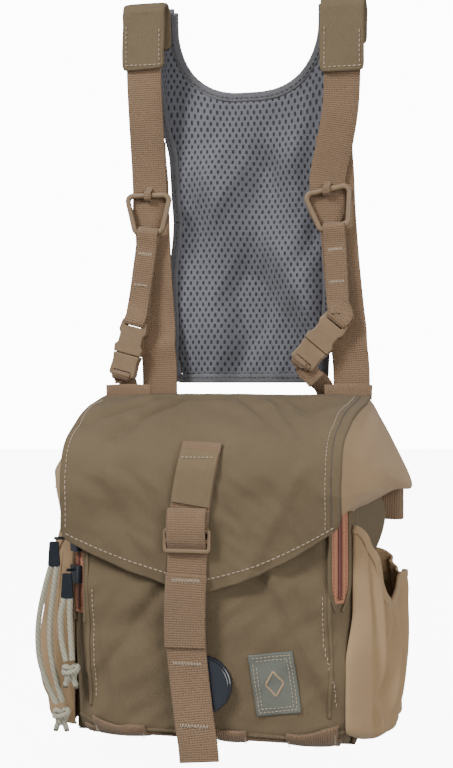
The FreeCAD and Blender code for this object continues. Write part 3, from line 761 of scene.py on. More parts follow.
def down_line(start, lean):
    """A function giving the point a distance down a leaning line, at a depth from the chain's plane."""
    def place(distance, y):
        """The point this far down the line."""
        point = below(start, lean, distance)
        return point.x, CHAIN_Y + y, point.z
    return place


def make_chain(name, x, ring_lean, strap_lean, buckle_lean, foot):
    """Shoulder webbing, narrow strap and tab of one side, round the CAD ring and buckle."""
    body = "ring_" + name
    start = math.copysign(SHOULDER_X, x)
    ring_axis = lean_axis(ring_lean)
    front = [(mix(start, x, share) - shift, y, z) for share, shift, y, z in
             ((0, 0, -7, -30), (0, 0, -7.2, -52), (0.15, 0, -3.0, -78), (0.5, 0, 1.8, -100),
              (0.85, 0, 5.2, -116), (1, 0, 6.9, -126), (1, 0, 7.4, -134), (1, 0.2, 7.7, -142),
              (1, 0.4, 8.5, -151), (1, 0.5, 8.9, -158))]
    spans = [X, X, X, mix_axis(X, ring_axis, 0.3), mix_axis(X, ring_axis, 0.7)] + [ring_axis] * 5

    def gathered(t):
        """The webbing gathers towards the ring's narrow lower bar."""
        return 1 - 0.42 * ease((t - 0.84) / 0.16)
    band("webbing_front_" + name, front, spans, 24.6, 1.5, "webbing", "harness", ("ring_keeper_" + name,),
         130, FLAT, gathered)
    keeper = [(x - shift, y, z) for shift, y, z in
              ((0, 6.9, -127), (0, 4.0, -129.6), (0, 1.3, -131), (0, 0.9, -133.4), (0.1, 1.6, -135.6),
               (0.1, 4, -136.5), (0.1, 6.6, -136))]
    band("ring_tape_" + name, keeper, ring_axis, 5, 0.9, "webbing", "harness", (), 40)
    bar = below((x, CHAIN_Y, -133), ring_lean, RING_DROP)
    end = below(bar, strap_lean, STRAP_DROP)
    plug = below(end, buckle_lean, BUCKLE_DROP)
    on_strap = down_line(bar, strap_lean)
    in_buckle = down_line(end, buckle_lean)
    in_plug = down_line(plug, buckle_lean)
    strap_axis = lean_axis(strap_lean)
    buckle_axis = lean_axis(buckle_lean)
    path = [on_strap(44, 2.7), on_strap(52, 3.2)]
    path += [in_buckle(*place) for place in
             ((-4, 4.6), (0.4, 5.6), (3.1, 4.4), (3.3, 0), (3.1, -4.4), (0.4, -5.6), (-4, -4.2))]
    path += [on_strap(*place) for place in
             ((52, -1.9), (44, -1.0), (26, -1.0), (10, -1.3), (3.5, -2.6), (-0.6, -2.9), (-3, 0), (-0.6, 2.9),
              (3.5, 2.4), (10, 1.0), (26, 0.8), (40, 0.8), (53, 0.9))]
    spans = [strap_axis] * 2 + [buckle_axis] * 7 + [strap_axis] * 13

    def narrow(t):
        """The strap is pinched in the buckle's slot."""
        return 1 - 0.2 * bell(t - 5 / 21, 0.045)
    band("strap_" + name, path, spans, 15, 1.3, "webbing", body, ("buckle_strap_" + name,), 150, FLAT, narrow)
    for number, distance in enumerate((15, 37)):
        centre = Vector(on_strap(distance, -1.75))
        tack(f"strap_tack_{name}_{number}", centre, strap_axis, below((0, 0, 0), strap_lean, 1), 9, body)
    foot = Vector((foot[0], CHAIN_Y, foot[1]))
    way = (foot - plug).normalized()
    level = Vector((abs(way.z), 0, way.x))

    def beside(y):
        """A point between the plug and the loop below it, at a depth."""
        point = plug.lerp(foot, 0.45)
        return point.x, CHAIN_Y + y, point.z
    tab = [foot + Vector((0, -0.9, 0)), beside(-1.1)]
    tab += [in_plug(*place) for place in
            ((1.5, -3.6), (-1.6, -5.6), (-3.2, -4), (-3.3, 0), (-3.2, 4), (-1.6, 5.6), (1.5, 3.6))]
    tab += [beside(1.1), foot + Vector((0, 0.9, 0))]
    spans = [level] * 2 + [buckle_axis] * 7 + [level] * 2
    piece = band("tab_" + name, tab, spans, 12.8, 1.3, "webbing", None, ("buckle_tab_" + name,), 90)
    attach(piece, "plug_" + name)
    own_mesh(piece)
    stub = [foot + way * reach + Vector((0, y, z)) for reach, y, z in
            ((-3, 8.0, 0), (5, 8.0, 0), (11, 7.6, -6))]
    band("tab_stub_" + name, stub, level, 13, 1.2, "webbing", "pack", (), 30)


def mix_axis(a, b, t):
    """A direction between two."""
    return (a * (1 - t) + b * t).normalized()


# ---------------------------------------------------------------- walls and front pocket

PACK_X = -4.5
HALF = 90
PLATE_CELLS = 26
POCKET_TOP = -340
POCKET_FOOT = -478
UPRIGHT = 0.9   # share of a pocket's v that is upright; the rest turns under


def plate(node, thin, material, puff):
    """A padded wall in a CAD node's place: rounded rim, slight swell and wrinkles; thin is its thin axis."""
    low, high = box(node)
    middle = (low + high) / 2
    half = (high - low) / 2
    u_axis, v_axis = [k for k in range(3) if k != thin]
    steps = [-math.cos(math.pi * k / PLATE_CELLS) for k in range(PLATE_CELLS + 1)]
    vertices = []
    maps = []
    for face in (-1, 1):
        for b in steps:
            for a in steps:
                shape = (1 - abs(a) ** 14) ** 0.5 * (1 - abs(b) ** 14) ** 0.5
                swell = puff * (1 - a * a) * (1 - b * b)
                point = middle.copy()
                point[u_axis] += half[u_axis] * a
                point[v_axis] += half[v_axis] * b
                wrinkle = 0.5 * ripple(point[u_axis] / 22, point[v_axis] / 30, 0, len(node))
                wrinkle *= (1 - a ** 8) * (1 - b ** 8)
                point[thin] += face * (half[thin] * max(shape, 0.12) + swell) + wrinkle
                vertices.append(point)
                maps.append((point[u_axis] * MM, point[v_axis] * MM))
    faces = layers(PLATE_CELLS, PLATE_CELLS, 1 if thin == 1 else -1)
    piece = new_object(node + "_cloth", vertices, faces, material, "pack", maps, (node,))


def make_walls():
    """Padded walls, base, back and their foam."""
    for node, thin, material, puff in (
            ("back_panel", 1, "cordura", 0.3), ("back_foam", 1, "lining_foam", 0.0),
            ("rear_wall", 1, "cordura", 0.2), ("front_wall", 1, "cordura", 0.2),
            ("base_panel", 2, "cordura", 0.1), ("base_foam", 2, "lining_foam", 0.0)):
        plate(node, thin, material, puff)
    low, high = box("back_panel")
    for name, inset, radius in (("outer", 1.6, 7), ("inner", 26, 12)):
        corners = ((low.x + inset, low.z + inset), (high.x - inset, low.z + inset),
                   (high.x - inset, high.z - inset), (low.x + inset, high.z - inset))
        outline = filleted([(*corner, radius) for corner in corners])
        outline = [Vector((x, high.y + 0.2, z)) for x, z in outline]
        if name == "outer":
            edging("back_piping", outline[:-1], 3.4, 2.8, "cordura", "pack", (), 300)
            outline = [(mix(x, PACK_X, 0.045), y, mix(z, -384, 0.035)) for x, y, z in outline]
        row = [(x, y + 0.5, z) for x, y, z in outline]
        stitches("back_stitching_" + name, row, 3.4, 2.3, 0.32, "pack", "cordura")
    for name, side in SIDES:
        node = "side_wall_" + name
        low, high = box(node)
        face = high.x if side > 0 else low.x

        def wall(u, v, low=low, high=high, face=face, side=side):
            """The side wall's outer face from front to rear; its rear part is cut lower for the sleeve."""
            y = mix(low.y, high.y, u)
            slope = mix(-325, -280, clamped((y + 72) / 68))
            top = mix(slope, -300, ease((y + 4.4) / 1.4))
            z = mix(top, low.z, v)
            swell = 1.2 * (1 - (2 * u - 1) ** 4) * (1 - (2 * v - 1) ** 6)
            swell += 12 * bell(y + 18, 26) * bell(z + 352, 26) * min(1, v * 6) * min(1, (1 - u) * 5)
            swell += 1.2 * ripple(y / 16, z / 20, 0, 6) * min(1, v * 4) * min(1, u * 5)
            return face + side * (0.1 + max(swell, 0)), y, z
        piece = grid(node + "_cloth", wall, (40, 44), 2.2, "cordura", "pack", (node,), X * side)


PLAN_STEPS = 200


def plan_points():
    """Plan of the front pocket, left to right, as points the same distance apart."""
    right = [(0, -89.0), (35, -89.0), (70, -89.0), (77.5, -88.9), (81, -86), (84, -83), (87, -80),
             (HALF, -76.5), (HALF, -72.2)]
    plan = [(-x, y) for x, y in right[:0:-1]] + right
    travelled = distances(plan)
    even = []
    index = 0
    for step in range(PLAN_STEPS + 1):
        want = travelled[-1] * step / PLAN_STEPS
        while index < len(plan) - 2 and travelled[index + 1] < want:
            index += 1
        share = (want - travelled[index]) / (travelled[index + 1] - travelled[index])
        even.append(tuple(mix(a, b, share) for a, b in zip(plan[index], plan[index + 1])))
    return even


POCKET_PLAN = plan_points()


def pocket_skin(u, v):
    """The front pocket from its left edge round the front to its right edge; v falls from top to bottom."""
    x, y = along(POCKET_PLAN, u)
    fall = min(v / UPRIGHT, 1.0)
    foot = POCKET_FOOT + 8 * ease((abs(x) - 56) / 34)
    z = mix(POCKET_TOP, foot, fall)
    under = max(0.0, (v - UPRIGHT) / (1 - UPRIGHT))
    if under:
        turn = under * math.pi / 2
        z = foot - (foot + 487.5) * math.sin(turn)
        y = mix(y, max(y, -74), 1 - math.cos(turn))
        x *= 1 - 0.03 * (1 - math.cos(turn))
    front = ease((-y - 80) / 8)
    calm = 1 - 0.75 * bell(x + 1.5, 24) * bell(z + 451, 24)
    belly = 4.2 * (1 - (x / HALF) ** 2) * math.sin(math.pi * min(fall + 0.02, 1)) * front * calm
    crease = 2.4 * ripple((x + 0.5 * z) / 28, 0, z / 30, 8) + 1.0 * ripple((x - z) / 12, 0, z / 16, 9)
    crease += 2.4 * bell(x - 50 + 0.5 * (z + 400), 5)
    crease -= 2.2 * bell(x + 48 - 0.7 * (z + 420), 6)
    crease += 1.6 * bell(x + 66 + 0.25 * (z + 430), 4)
    edge = 1 - bell(abs(x) - 84, 5)
    pinch = 2.4 * ease((-z - 425) / 50) * ease((abs(x) - 60) / 28)
    full = ease((-z - 402) / 40) * (x > 0) * (1 - under)
    x -= math.copysign(pinch, x)
    out = 3.2 * full * bell(x - 82, 7)
    fore = 7.5 * full * bell(x - 84.5, 4.5)
    return PACK_X + x + out, y - belly - crease * front * edge * calm - fore, z


def pocket_place(x, z, between=False):
    """(u, v) of a point of the pocket's front: at the plan's nearest step, or between its steps."""
    def away(k):
        """Distance of a step from x; the steps at the sides don't count."""
        return abs(POCKET_PLAN[k][0] - x) + 50 * (POCKET_PLAN[k][1] >= -85)
    step = min(range(PLAN_STEPS + 1), key=away)
    if between:
        step = max(k for k in range(40, 161) if POCKET_PLAN[k][0] <= x)
        step += (x - POCKET_PLAN[step][0]) / (POCKET_PLAN[step + 1][0] - POCKET_PLAN[step][0])
    return step / PLAN_STEPS, UPRIGHT * (z - POCKET_TOP) / (POCKET_FOOT - POCKET_TOP)


def above_pocket(places, lift):
    """Points a little in front of the pocket's skin."""
    return on(pocket_skin, places, side_lift(pocket_skin, lift))


def make_front_pocket():
    """Front pocket skin, its seam stitching and piping, and the webbing and lash loops under it."""
    piece = grid("front_pocket_skin", pocket_skin, (110, 70), 1.8, "cordura", "pack", ("front_pocket",))
    for name, x in (("left", -73.5), ("right", 72.5)):
        lean = 7 * (x > 0)
        seam = [pocket_place(x + lean * ease((-z - 420) / 46), z) for z in range(-396, -468, -1)]
        stitches("pocket_stitching_" + name, above_pocket(seam, 0.25), 3.2, 2.1, 0.3, "pack")
        piping = [pocket_place(x + math.copysign(4.3, x), z) for z in range(-344, -476, -2)]
        band("pocket_piping_" + name, above_pocket(piping, 0.2), X, 2.2, 1.2, "cordura", "pack", (), 70,
             PUFFED)
    hem = above_pocket([(0.03 + 0.94 * k / 90, 0.925) for k in range(91)], 0.0)
    band("base_piping", hem, DOWN, 2.0, 1.6, "cordura", "pack", (), 100, PUFFED)

    def strip(u, v):
        """Webbing over the pocket's lower edge and along under the base."""
        place = above_pocket([(mix(0.06, 0.94, u), mix(0.945, 0.999, min(v / 0.45, 1)))], 0.9)[0]
        if v < 0.45:
            return place.x, place.y, min(place.z, -480)
        return place.x, mix(place.y, -62.5, (v - 0.45) / 0.55), mix(place.z, -490.3, ease((v - 0.45) / 0.2))
    grid("base_webbing_strip", strip, (100, 24), 1.3, "webbing", "pack", ("base_webbing",), None, True)
    for label, start, stop in (("left", -76, -40), ("middle", 5, 25), ("right", 50, 86)):
        left, right = pocket_place(start, -470)[0], pocket_place(stop, -470)[0]

        def lash(u, v, left=left, right=right):
            """A lash loop, standing a little off the pocket's lower edge."""
            lift = 1.1 + 1.6 * math.sin(math.pi * u) ** 0.5 * (1 - 0.3 * v)
            return above_pocket([(mix(left, right, u), mix(0.905, 0.985, v))], lift)[0]
        grid("lash_" + label, lash, (30, 12), 1.2, "webbing", "pack", (), None, True)
        for number, u in enumerate((0.06, 0.94)):
            spot = lash(u, 0.45) + Vector((0, -0.3, 0))
            tack(f"lash_tack_{label}_{number}", spot, Vector((0, 0.5, -0.86)), X, 7, "pack", 1.6)


def side_lift(point, lift):
    """The lift with the sign that carries a point off the front of a sheet."""
    middle = Vector(point(0.5, 0.4))
    side = Vector(point(0.52, 0.4)) - middle
    fall = Vector(point(0.5, 0.42)) - middle
    return lift if side.cross(fall).y < 0 else -lift


def make_zip():
    """Tape and coil up both slanted corners, each ending under the flap."""
    for name, side in SIDES:
        x, y, end = (81.5, -85.5, -399) if side > 0 else (-84, -83, -411)
        foot = Vector((PACK_X + x, y, 0))
        out = Vector((side, -1, 0)).normalized()
        way = Vector((1, side, 0)).normalized()

        def corner(lift, z, place=0.0, foot=foot, out=out, way=way):
            """A point a little off the slanted corner, at a height and a distance from the coil."""
            return foot + out * lift + way * place - DOWN * z
        lane = [corner(*spot) for spot in ((0.4, end), (0.9, end + 7), (1.0, -385), (1.0, -360), (0.9, -341))]
        band("zip_tape_" + name, lane, way, 14, 0.9, "zip_tape", "pack", ("zip_tape",) * (side < 0), 40)
        closing, open_again = (0.35, 0.72) if side > 0 else (0.9, 1.0)
        for label, place in (("inner", -7.4), ("outer", 7.4)):
            lips = [corner(lift, z, place * share) for lift, share, z in
                    ((0.9, closing, end - 5), (1.2, open_again, end + 2), (1.3, 1, -387), (1.3, 1, -360),
                     (1.3, 1, -342))]
            band(f"zip_lip_{label}_{name}", lips, way, 2.6, 1.8, "cordura", "pack", (), 50, PUFFED)
        coil = [corner(1.7, z) for z in (end + 4, -385, -360, -341)]
        band("zip_coil_" + name, coil, way, 2.6, 1.1, "zip_coil", "pack", ("zip_coil",) * (side < 0), 40,
             PUFFED)
        teeth = tack("zip_teeth_" + name, corner(2.1, (end - 337) / 2), -DOWN, way, -342 - end, "pack", 4.4)
        teeth.data.materials[0] = MATERIALS["zip_coil"]
        for place in (-4.6, 4.6):
            row = [corner(1.55, z, place) for z in range(end + 2, -341)]
            stitches(f"zip_stitching_{name}_{int(place > 0)}", row, 2.4, 1.6, 0.22, "pack", "zip_coil")


def make_label():
    """Cloth label, tilted, with a double row of stitching and a plain diamond."""
    tilt = math.radians(-8)
    centre = (38.5 - PACK_X, -448.5)

    def label(u, v, lift=0.9):
        """A point of the label."""
        a, b = (u - 0.5) * 28, (0.5 - v) * 38
        x = centre[0] + a * math.cos(tilt) + b * math.sin(tilt)
        z = centre[1] - a * math.sin(tilt) + b * math.cos(tilt)
        return above_pocket([pocket_place(x, z, True)], lift + 0.15 * ripple(a / 6, 0, b / 6, 11))[0]
    grid("label_cloth", label, (28, 38), 0.8, "patch", "pack", ("label_patch",))

    def side_of(corners, number, steps, lift):
        """One straight side of a closed shape on the label, as points."""
        (ua, va), (ub, vb) = corners[number], corners[(number + 1) % 4]
        return [label(mix(ua, ub, k / steps), mix(va, vb, k / steps), lift) for k in range(steps + 1)]
    for number, inset in enumerate((0.075, 0.15)):
        low = inset * 0.75
        corners = ((inset, low), (1 - inset, low), (1 - inset, 1 - low), (inset, 1 - low))
        ring = [point for edge in range(4) for point in side_of(corners, edge, 20, 1.1)[:-1]]
        stitches(f"label_stitching_{number}", ring, 2.5, 1.7, 0.26, "pack")
    for number in range(4):
        line = side_of(((0.5, 0.3), (0.7, 0.5), (0.5, 0.7), (0.3, 0.5)), number, 6, 1.05)
        across = (line[-1] - line[0]).cross(Vector((0, 1, 0)))
        band(f"label_motif_{number}", line, across, 1.3, 0.4, "motif", "pack", (), 10)


# ---------------------------------------------------------------- flap and closure

FLAP_X = -8.5
# side view of the flap from hinge to hem, as (y, z)
ROOF_LINE = smooth(((-4, -272.4), (-20, -275.2), (-44, -280.5), (-66, -288.5), (-84, -298), (-94, -307.5),
                    (-98, -320), (-98.6, -336), (-98.4, -360), (-98.2, -395)), 120)
FRONT_Y = -98.4
SPLIT = 0.6
# drag lines over the roof: place at y = -50, slope, width and depth
ROOF_DRAGS = ((-40, 0.55, 5, 4.2), (-66, 0.9, 6, 3.6), (26, -0.75, 5, 3.4), (44, -0.5, 4, 2.6),
              (58, -0.2, 8, 3.4))


def roof_y(z):
    """Depth of the flap's side view at a height."""
    return next((y for y, height in ROOF_LINE if height <= z), ROOF_LINE[-1][0])


def flap_hem(a):
    """Height of the hem across the flap: a shallow rounded point, a little higher on the right."""
    share = abs(a)
    rise = mix(33, 43, ease((a + 1) / 2)) * (0.75 * share ** 1.2 + 0.25 * share ** 2.4)
    corner = 5.0 * (1 - math.sqrt(max(0.0, 1 - max(0.0, (share - 0.945) / 0.055) ** 2)))
    return -394 + rise + corner


def flap_skin(u, v):
    """The flap's outer face: roof, rounded front edge and hanging front; v falls from hinge to hem."""
    a = 2 * u - 1
    if v < SPLIT:
        y, height = along(ROOF_LINE, v / SPLIT * SPLIT_SHARE)
    else:
        y, height = FRONT_Y, mix(SPLIT_Z, flap_hem(a), (v - SPLIT) / (1 - SPLIT))
    front = ease((-height - 306) / 16)
    reach = mix(92.5, 89, ease((-y - 20) / 75))
    x = a * reach
    roof = math.sin(math.pi * min(1.0, (4 - y) / 104))
    crown = 3.0 * (1 - a * a) * roof
    sag = 3.4 * ripple(x / 34, y / 24, height / 60, 12)
    sag += 1.7 * ripple((x + 0.8 * y) / 15, y / 20, height / 24, 13)
    drag = sum(deep * bell(x - foot - slope * (y + 50), wide) for foot, slope, wide, deep in ROOF_DRAGS)
    edge = 1 - abs(a) ** 10
    lift = (crown + (sag - drag * roof) * ease((4 - y) / 30)) * edge
    quiet = 1 - bell(x + 6, 17)
    hang = (2.4 * ripple(x / 26, 0, height / 22, 14) + 1.0 * ripple((x + height) / 10, 0, height / 14, 15)
            + 2.4 * bell(x - 52 - 0.5 * (height + 340), 6)
            - 2.0 * bell(x + 55 + 0.6 * (height + 345), 7)) * front * quiet
    centre = mix(PACK_X, FLAP_X, ease(-y / 90))
    sway = 0.8 * ripple(0, y / 20, height / 20, 16) * abs(a) ** 4
    slope = mix(1.0, 0.55, ease((-y - 60) / 30))
    lift *= 1 - front
    return centre + x + sway, y - (hang + 0.4 * front) * edge - lift * (1 - slope), height + lift * slope


SPLIT_STEP = next(k for k, (y, z) in enumerate(ROOF_LINE) if z <= -332)
SPLIT_SHARE, SPLIT_Z = SPLIT_STEP / 120, ROOF_LINE[SPLIT_STEP][1]


def make_flap():
    """The flap, its stitched hem and seams, and the stretch wings at its sides."""
    flap = grid("flap_cloth", flap_skin, (96, 120), 2.2, "cordura", "flap_body", ("flap",))
    hem = [(0.022 + 0.956 * k / 300, 1 - 3.2 / 60) for k in range(301)]
    left = [(0.020, 0.10 + 0.84 * k / 260) for k in range(261)]
    right, edge = ([(u, 0.04 + 0.90 * k / 260) for k in range(261)] for u in (0.945, 0.965))
    for label, row, pitch, length, radius, thread in (
            ("hem_stitching", hem, 3.4, 2.3, 0.34, "thread"),
            ("left_stitching", left, 3.4, 2.3, 0.32, "thread"),
            ("right_stitching_0", right, 3.0, 2.1, 0.26, "thread"),
            ("right_stitching_1", edge, 3.0, 2.1, 0.26, "binding")):
        path = on(flap_skin, row, side_lift(flap_skin, 0.25))
        stitches("flap_" + label, path, pitch, length, radius, "flap_body", thread)
    for name, side in SIDES:
        rear = Vector((PACK_X + side * 93, -5, -277))
        tip = Vector((115, -14, -332)) if side > 0 else Vector((-122, -30, -334))
        low = Vector(flap_skin(0.5 + side * 0.497, 0.90)) + Vector((side * 1.5, 6, 2))
        outline = smooth([rear, rear.lerp(tip, 0.5) + Vector((side * 2.5, 0, 1)), tip,
                          tip.lerp(low, 0.3) + Vector((0, 0, 1.5)), tip.lerp(low, 0.65), low], 60)

        def wing(u, v, side=side, outline=outline):
            """Stretch wing from the flap's edge out to its loose corner."""
            edge = Vector(flap_skin(0.5 + side * 0.492, 0.015 + 0.885 * v)) + Vector((-side * 0.3, 0.4, -0.7))
            point = edge.lerp(Vector(along(outline, v)), u)
            bulge = math.sin(math.pi * u) * math.sin(math.pi * v) ** 0.8
            fold = 2.6 * ripple(u * 2.6 + v * 3.0, v * 1.5, side, 16)
            fold += 1.2 * ripple(u * 6 + v * 5, v * 4, side, 17)
            fold += 2.2 * math.sin(TAU * (v * 1.7 + u * 0.4)) * u
            push = (4.2 * bulge + fold * math.sin(math.pi * v)) * min(1, u * 4)
            return point + Vector((side * 0.75, -0.2, 0.55)) * push
        piece = grid("wing_" + name, wing, (34, 60), 1.3, "stretch", "flap_body", ("flap_wing_" + name,),
                     X * side)


def make_closure():
    """Closure strap over the flap and down the front, with its folded upper layer and tail."""
    lane = []
    for x, z in ((-7, -302), (-7.6, -311), (-10.5, -328), (-13.2, -346), (-14, -361), (-14.8, -380),
                 (-15.4, -395), (-15.8, -412), (-15.4, -427), (-13, -450), (-10.2, -472), (-7.8, -487),
                 (-6.8, -497)):
        if z > -400:
            lane.append((x, min(roof_y(z) - 1.6, -90.6), z + 0.8 * (z > -320)))
        else:
            lane.append((x, -100.1 + 1.2 * math.sin((-z - 400) / 30), z))
    strap = band("closure_strap", lane, X, 25, 1.4, "webbing", None,
                 ("closure_strap_upper", "closure_strap_tail"), 150)
    top = [(x, roof_y(z) - 3.1, z) for x, z in
           ((-7.3, -306), (-8.6, -316), (-10.1, -325), (-11.4, -333), (-12.3, -339))]
    band("closure_top_layer", top, X, 24.6, 1.3, "tape", "flap_body", (), 50)
    saddle = [(-14, y, z) for y, z in ((-103.2, -341.2), (-104.4, -343.6), (-105.5, -347), (-106.2, -352),
                                       (-106.0, -357), (-105.2, -361.5), (-103.4, -364.6), (-101.4, -367.6))]
    band("closure_saddle", saddle, X, 24.4, 1.2, "webbing", "slider_body", (), 50)
    fold = [(-14.8, -101.6, -382), (-15.4, -101.7, -395), (-15.8, -101.4, -410), (-15.6, -100.9, -427)]
    lower = band("closure_fold", fold, X, 26, 1.4, "webbing", None, (), 60)
    for piece in (strap, lower):
        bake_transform(piece)
    for number, (place, body) in enumerate((((-14.9, -102.5, -385.5), "flap_body"),
                                            ((-14.6, -99.9, -437), "strap_tail"),
                                            ((-9.9, -100.6, -475), "strap_tail"))):
        tack(f"closure_tack_{number}", Vector(place), X, DOWN, 17, body, 2.4)
    row = [(-18.5 + k, roof_y(-310) - 4, -310) for k in range(22)]
    stitches("closure_top_stitching", row, 2.6, 1.8, 0.3, "flap_body")


# ---------------------------------------------------------------- side pockets, loops and cords

POCKET_RIM = smooth([(z,) for z in (-352, -370, -396, -402, -385, -387, -392, -388, -380, -376)], 80)
SIDE_Y = -34
# where each fold starts along the rim, its lean, its width and its depth in millimetres
SIDE_FOLDS = ((0.08, 0.08, 0.022, 6.0), (0.18, 0.04, 0.024, 4.5), (0.32, -0.20, 0.032, 7.0),
              (0.41, -0.12, 0.034, 6.0), (0.50, 0.04, 0.030, 3.5), (0.82, -0.30, 0.035, 5.0))


def make_side_pockets():
    """Stretch side pockets with deep folds, gathered under a bound rim."""
    for name, side in SIDES:
        wall_x = PACK_X + side * HALF

        def pocket(u, v, side=side, wall_x=wall_x):
            """From front to rear round the bulge; v falls from the rim to the gathered foot."""
            turn = math.pi * u
            flat_y = SIDE_Y - 42.5 * math.copysign(abs(math.cos(turn)) ** 0.8, math.cos(turn))
            depth = 31 if side < 0 else 28
            reach = depth * abs(math.sin(turn)) ** 0.6
            z = mix(along(POCKET_RIM, u)[0], POCKET_FOOT, min(v / UPRIGHT, 1))
            belly = 0.84 + 0.16 * math.sin(math.pi * min(v * 1.25, 1)) ** 0.7
            pleat = 1.2 * ripple(u * 4.2 + v * 0.5, v * 1.1, side, 21)
            pleat += 0.5 * ripple(u * 9 - v, v * 2, side, 22)
            for foot, slope, wide, deep in SIDE_FOLDS:
                away = u - foot - slope * v
                pleat += deep * (0.4 * bell(away - 2 * wide, wide) - bell(away, wide))
            fade = math.sin(turn) ** 0.4 * (1 - 0.65 * ease((v - 0.7) / 0.25)) * mix(0.35, 1, ease(v / 0.12))
            ear = 4.0 * bell(u - 0.48, 0.08) * bell(v, 0.16)
            gather = 0.7 * math.sin(TAU * 13 * u) * math.exp(-v / 0.09) * math.sin(turn)
            reach = reach * belly + pleat * fade + ear + gather
            if v > UPRIGHT:
                tuck = (v - UPRIGHT) / (1 - UPRIGHT) * math.pi / 2
                z = POCKET_FOOT - 7.5 * math.sin(tuck)
                reach *= 1 - 0.75 * (1 - math.cos(tuck))
                flat_y -= 0.1 * (flat_y - SIDE_Y) * (1 - math.cos(tuck))
            forward = mix(0.3, 1, ease((-z - 402) / 34)) * max(0.0, 1 - u / 0.2) ** 2 * (side > 0)
            z += 7 * forward * ease((-z - 440) / 45)
            return wall_x + side * (0.6 + max(reach, 0.3) - 4.2 * forward), flat_y - 14 * forward, z
        piece = grid("side_pocket_cloth_" + name, pocket, (150, 70), 1.3, "stretch", "pack",
                     ("side_pocket_" + name,), X * side)
        rim = [Vector(pocket(k / 90, 0.0)) + DOWN * 1.5 for k in range(91)]
        band("side_pocket_hem_" + name, rim, DOWN, 5, 2.4, "stretch", "pack", ("side_pocket_rim_" + name,),
             120, PUFFED)


def make_loops():
    """Webbing loops at the top corners and at the rear of the sides."""
    for name, side in SIDES:
        node = "anchor_loop_" + name
        low, high = box(node)
        x, y, z = (low + high) / 2
        lane = [(low.x, y, z), (x, y - 0.2, z + 0.5), (high.x, y, z)]
        band("corner_loop_" + name, lane, -DOWN, 10, 1.5, "webbing", "pack", (node,), 40)
        node = "side_loop_" + name
        low, high = box(node)
        x, y, z = (low + high) / 2
        root, tip = (low.x, high.x) if side > 0 else (high.x, low.x)
        front, rear = low.y, high.y
        lane = [(mix(root, tip, share), depth, z + rise) for share, depth, rise in
                ((0, front + 0.8, 0), (0.5, front + 0.8, -0.6), (0.86, front + 2, -0.8), (0.965, y, -0.8),
                 (0.86, rear - 2, -0.4), (0.5, rear - 0.8, 0), (0, rear - 0.8, 0))]
        band("lash_loop_" + name, lane, -DOWN, 25, 1.5, "webbing", "pack", (node,), 70)


CORDS = {
    "pull_cord_upper_outer": ("pull_a", ((-106, -92, -381), (-110.5, -92.8, -396), (-116, -91, -423),
                                         (-114, -88.4, -450), (-104, -86.4, -469.4)), 0.0920),
    "pull_cord_upper_inner": ("pull_a", ((-101.8, -92, -381), (-104.6, -91.2, -396), (-107.8, -90.6, -423),
                                         (-106.4, -88, -446), (-100.2, -86.2, -468)), 0.0884),
    "pull_cord_lower_outer": ("pull_b", ((-97, -92, -401), (-99.2, -92.6, -409), (-99.4, -92.4, -419),
                                         (-98.4, -92.3, -430.5), (-95.2, -93.2, -440.4)), 0.0402),
    "pull_cord_lower_inner": ("pull_b", ((-93, -92, -401), (-93.6, -91.6, -409), (-93, -91.8, -419),
                                         (-92.2, -92.5, -430), (-91.2, -93.2, -439.6)), 0.0388),
}
KNOTS = {"pull_knot_upper": ("pull_a", (-101, -85.8, -476.5)),
         "pull_knot_lower": ("pull_b", (-92, -93.4, -446.8))}
CORD_WIDTH = 3.6


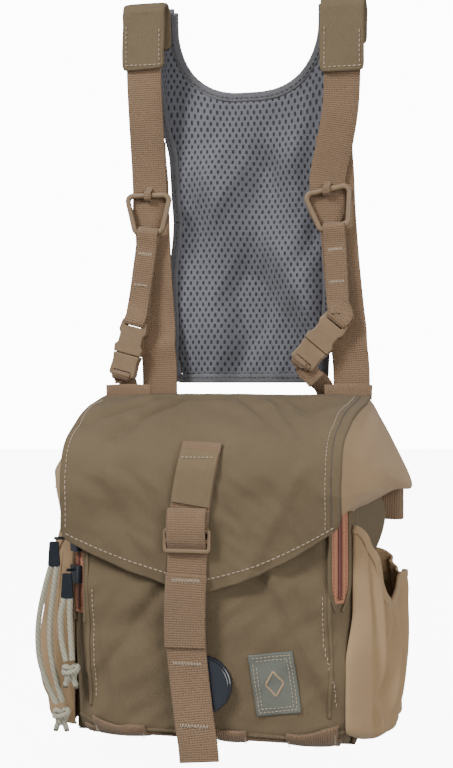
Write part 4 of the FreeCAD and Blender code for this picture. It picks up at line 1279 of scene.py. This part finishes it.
def tube(name, points, body, nodes=(), width=CORD_WIDTH, closed=False, material="cord"):
    """A round cord along points in millimetres, as a bevelled NURBS curve."""
    curve = bpy.data.curves.new(name, "CURVE")
    curve.dimensions = "3D"
    curve.bevel_depth = width / 2 * MM
    curve.bevel_resolution = 5
    curve.use_fill_caps = True
    curve.resolution_u = 10
    spline = curve.splines.new("NURBS")
    spline.points.add(len(points) - 1)
    for place, point in zip(spline.points, points):
        place.co = (*(Vector(point) * MM), 1)
    spline.order_u = 3
    spline.use_cyclic_u = closed
    spline.use_endpoint_u = not closed
    piece = linked(name, curve)
    curve.materials.append(MATERIALS[material])
    settle(piece, body, nodes)
    return piece


def make_cords():
    """Doubled pull cords hanging from the zip pulls, each pair tied in an overhand knot."""
    for node, (body, route, length) in CORDS.items():
        piece = tube(node + "_cord", route, body, (node,))
    for node, (body, centre) in KNOTS.items():
        middle = Vector(centre)
        turns = [middle + Vector((1.95 * (math.sin(t) + 1.6 * math.sin(2 * t)), -2.1 * math.sin(3 * t),
                                  1.95 * (math.cos(t) - 1.6 * math.cos(2 * t))))
                 for t in (TAU * k / 36 for k in range(36))]
        tube(node + "_turns", turns, body, (node,), 3.3, True)
        wrap = [middle + Vector((4.6 * math.cos(t), 4.2 * math.sin(t), 1.4 * math.sin(t + 0.8) + 1.0))
                for t in (TAU * k / 16 for k in range(16))]
        tube(node + "_wrap", wrap, body, (), 3.2, True)
        for number, side in enumerate((-1, 1)):
            tail = [middle + Vector((side * x, y, z)) for x, y, z in
                    ((1.0, 0, -2), (2.2, -0.6, -5), (3.4, -0.2, -8.6), (3.7, -0.2, -9.6), (3.8, -0.2, -10.2))]
            tube(f"{node}_tail_{number}", tail[:3], body)
            tube(f"{node}_end_{number}", tail[2:], body, (), 3.3, False, "melted")


HARD = {f"{kind}_{name}": "hardware" for kind in ("triangle_ring", "buckle_socket", "buckle_plug")
        for name in ("left", "right")}
HARD.update(strap_slider="hardware", magnet_base="magnet", magnet_cap="magnet", zip_slider_upper="gunmetal",
            zip_slider_lower="gunmetal", pull_tab_upper="gunmetal", pull_tab_lower="gunmetal")


def dress_hard_parts():
    """Detailed materials on the CAD's own hard pieces."""
    for node, material in HARD.items():
        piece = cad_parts[node]
        piece.data.materials.clear()
        piece.data.materials.append(MATERIALS[material])


make_pads()
make_camera()
make_studio()
make_yoke()
make_shoulder_webbing()
for chain in CHAINS:
    make_chain(*chain)
make_walls()
make_front_pocket()
make_zip()
make_label()
make_flap()
make_closure()
make_side_pockets()
make_loops()
make_cords()
dress_hard_parts()
bpy.context.view_layer.update()
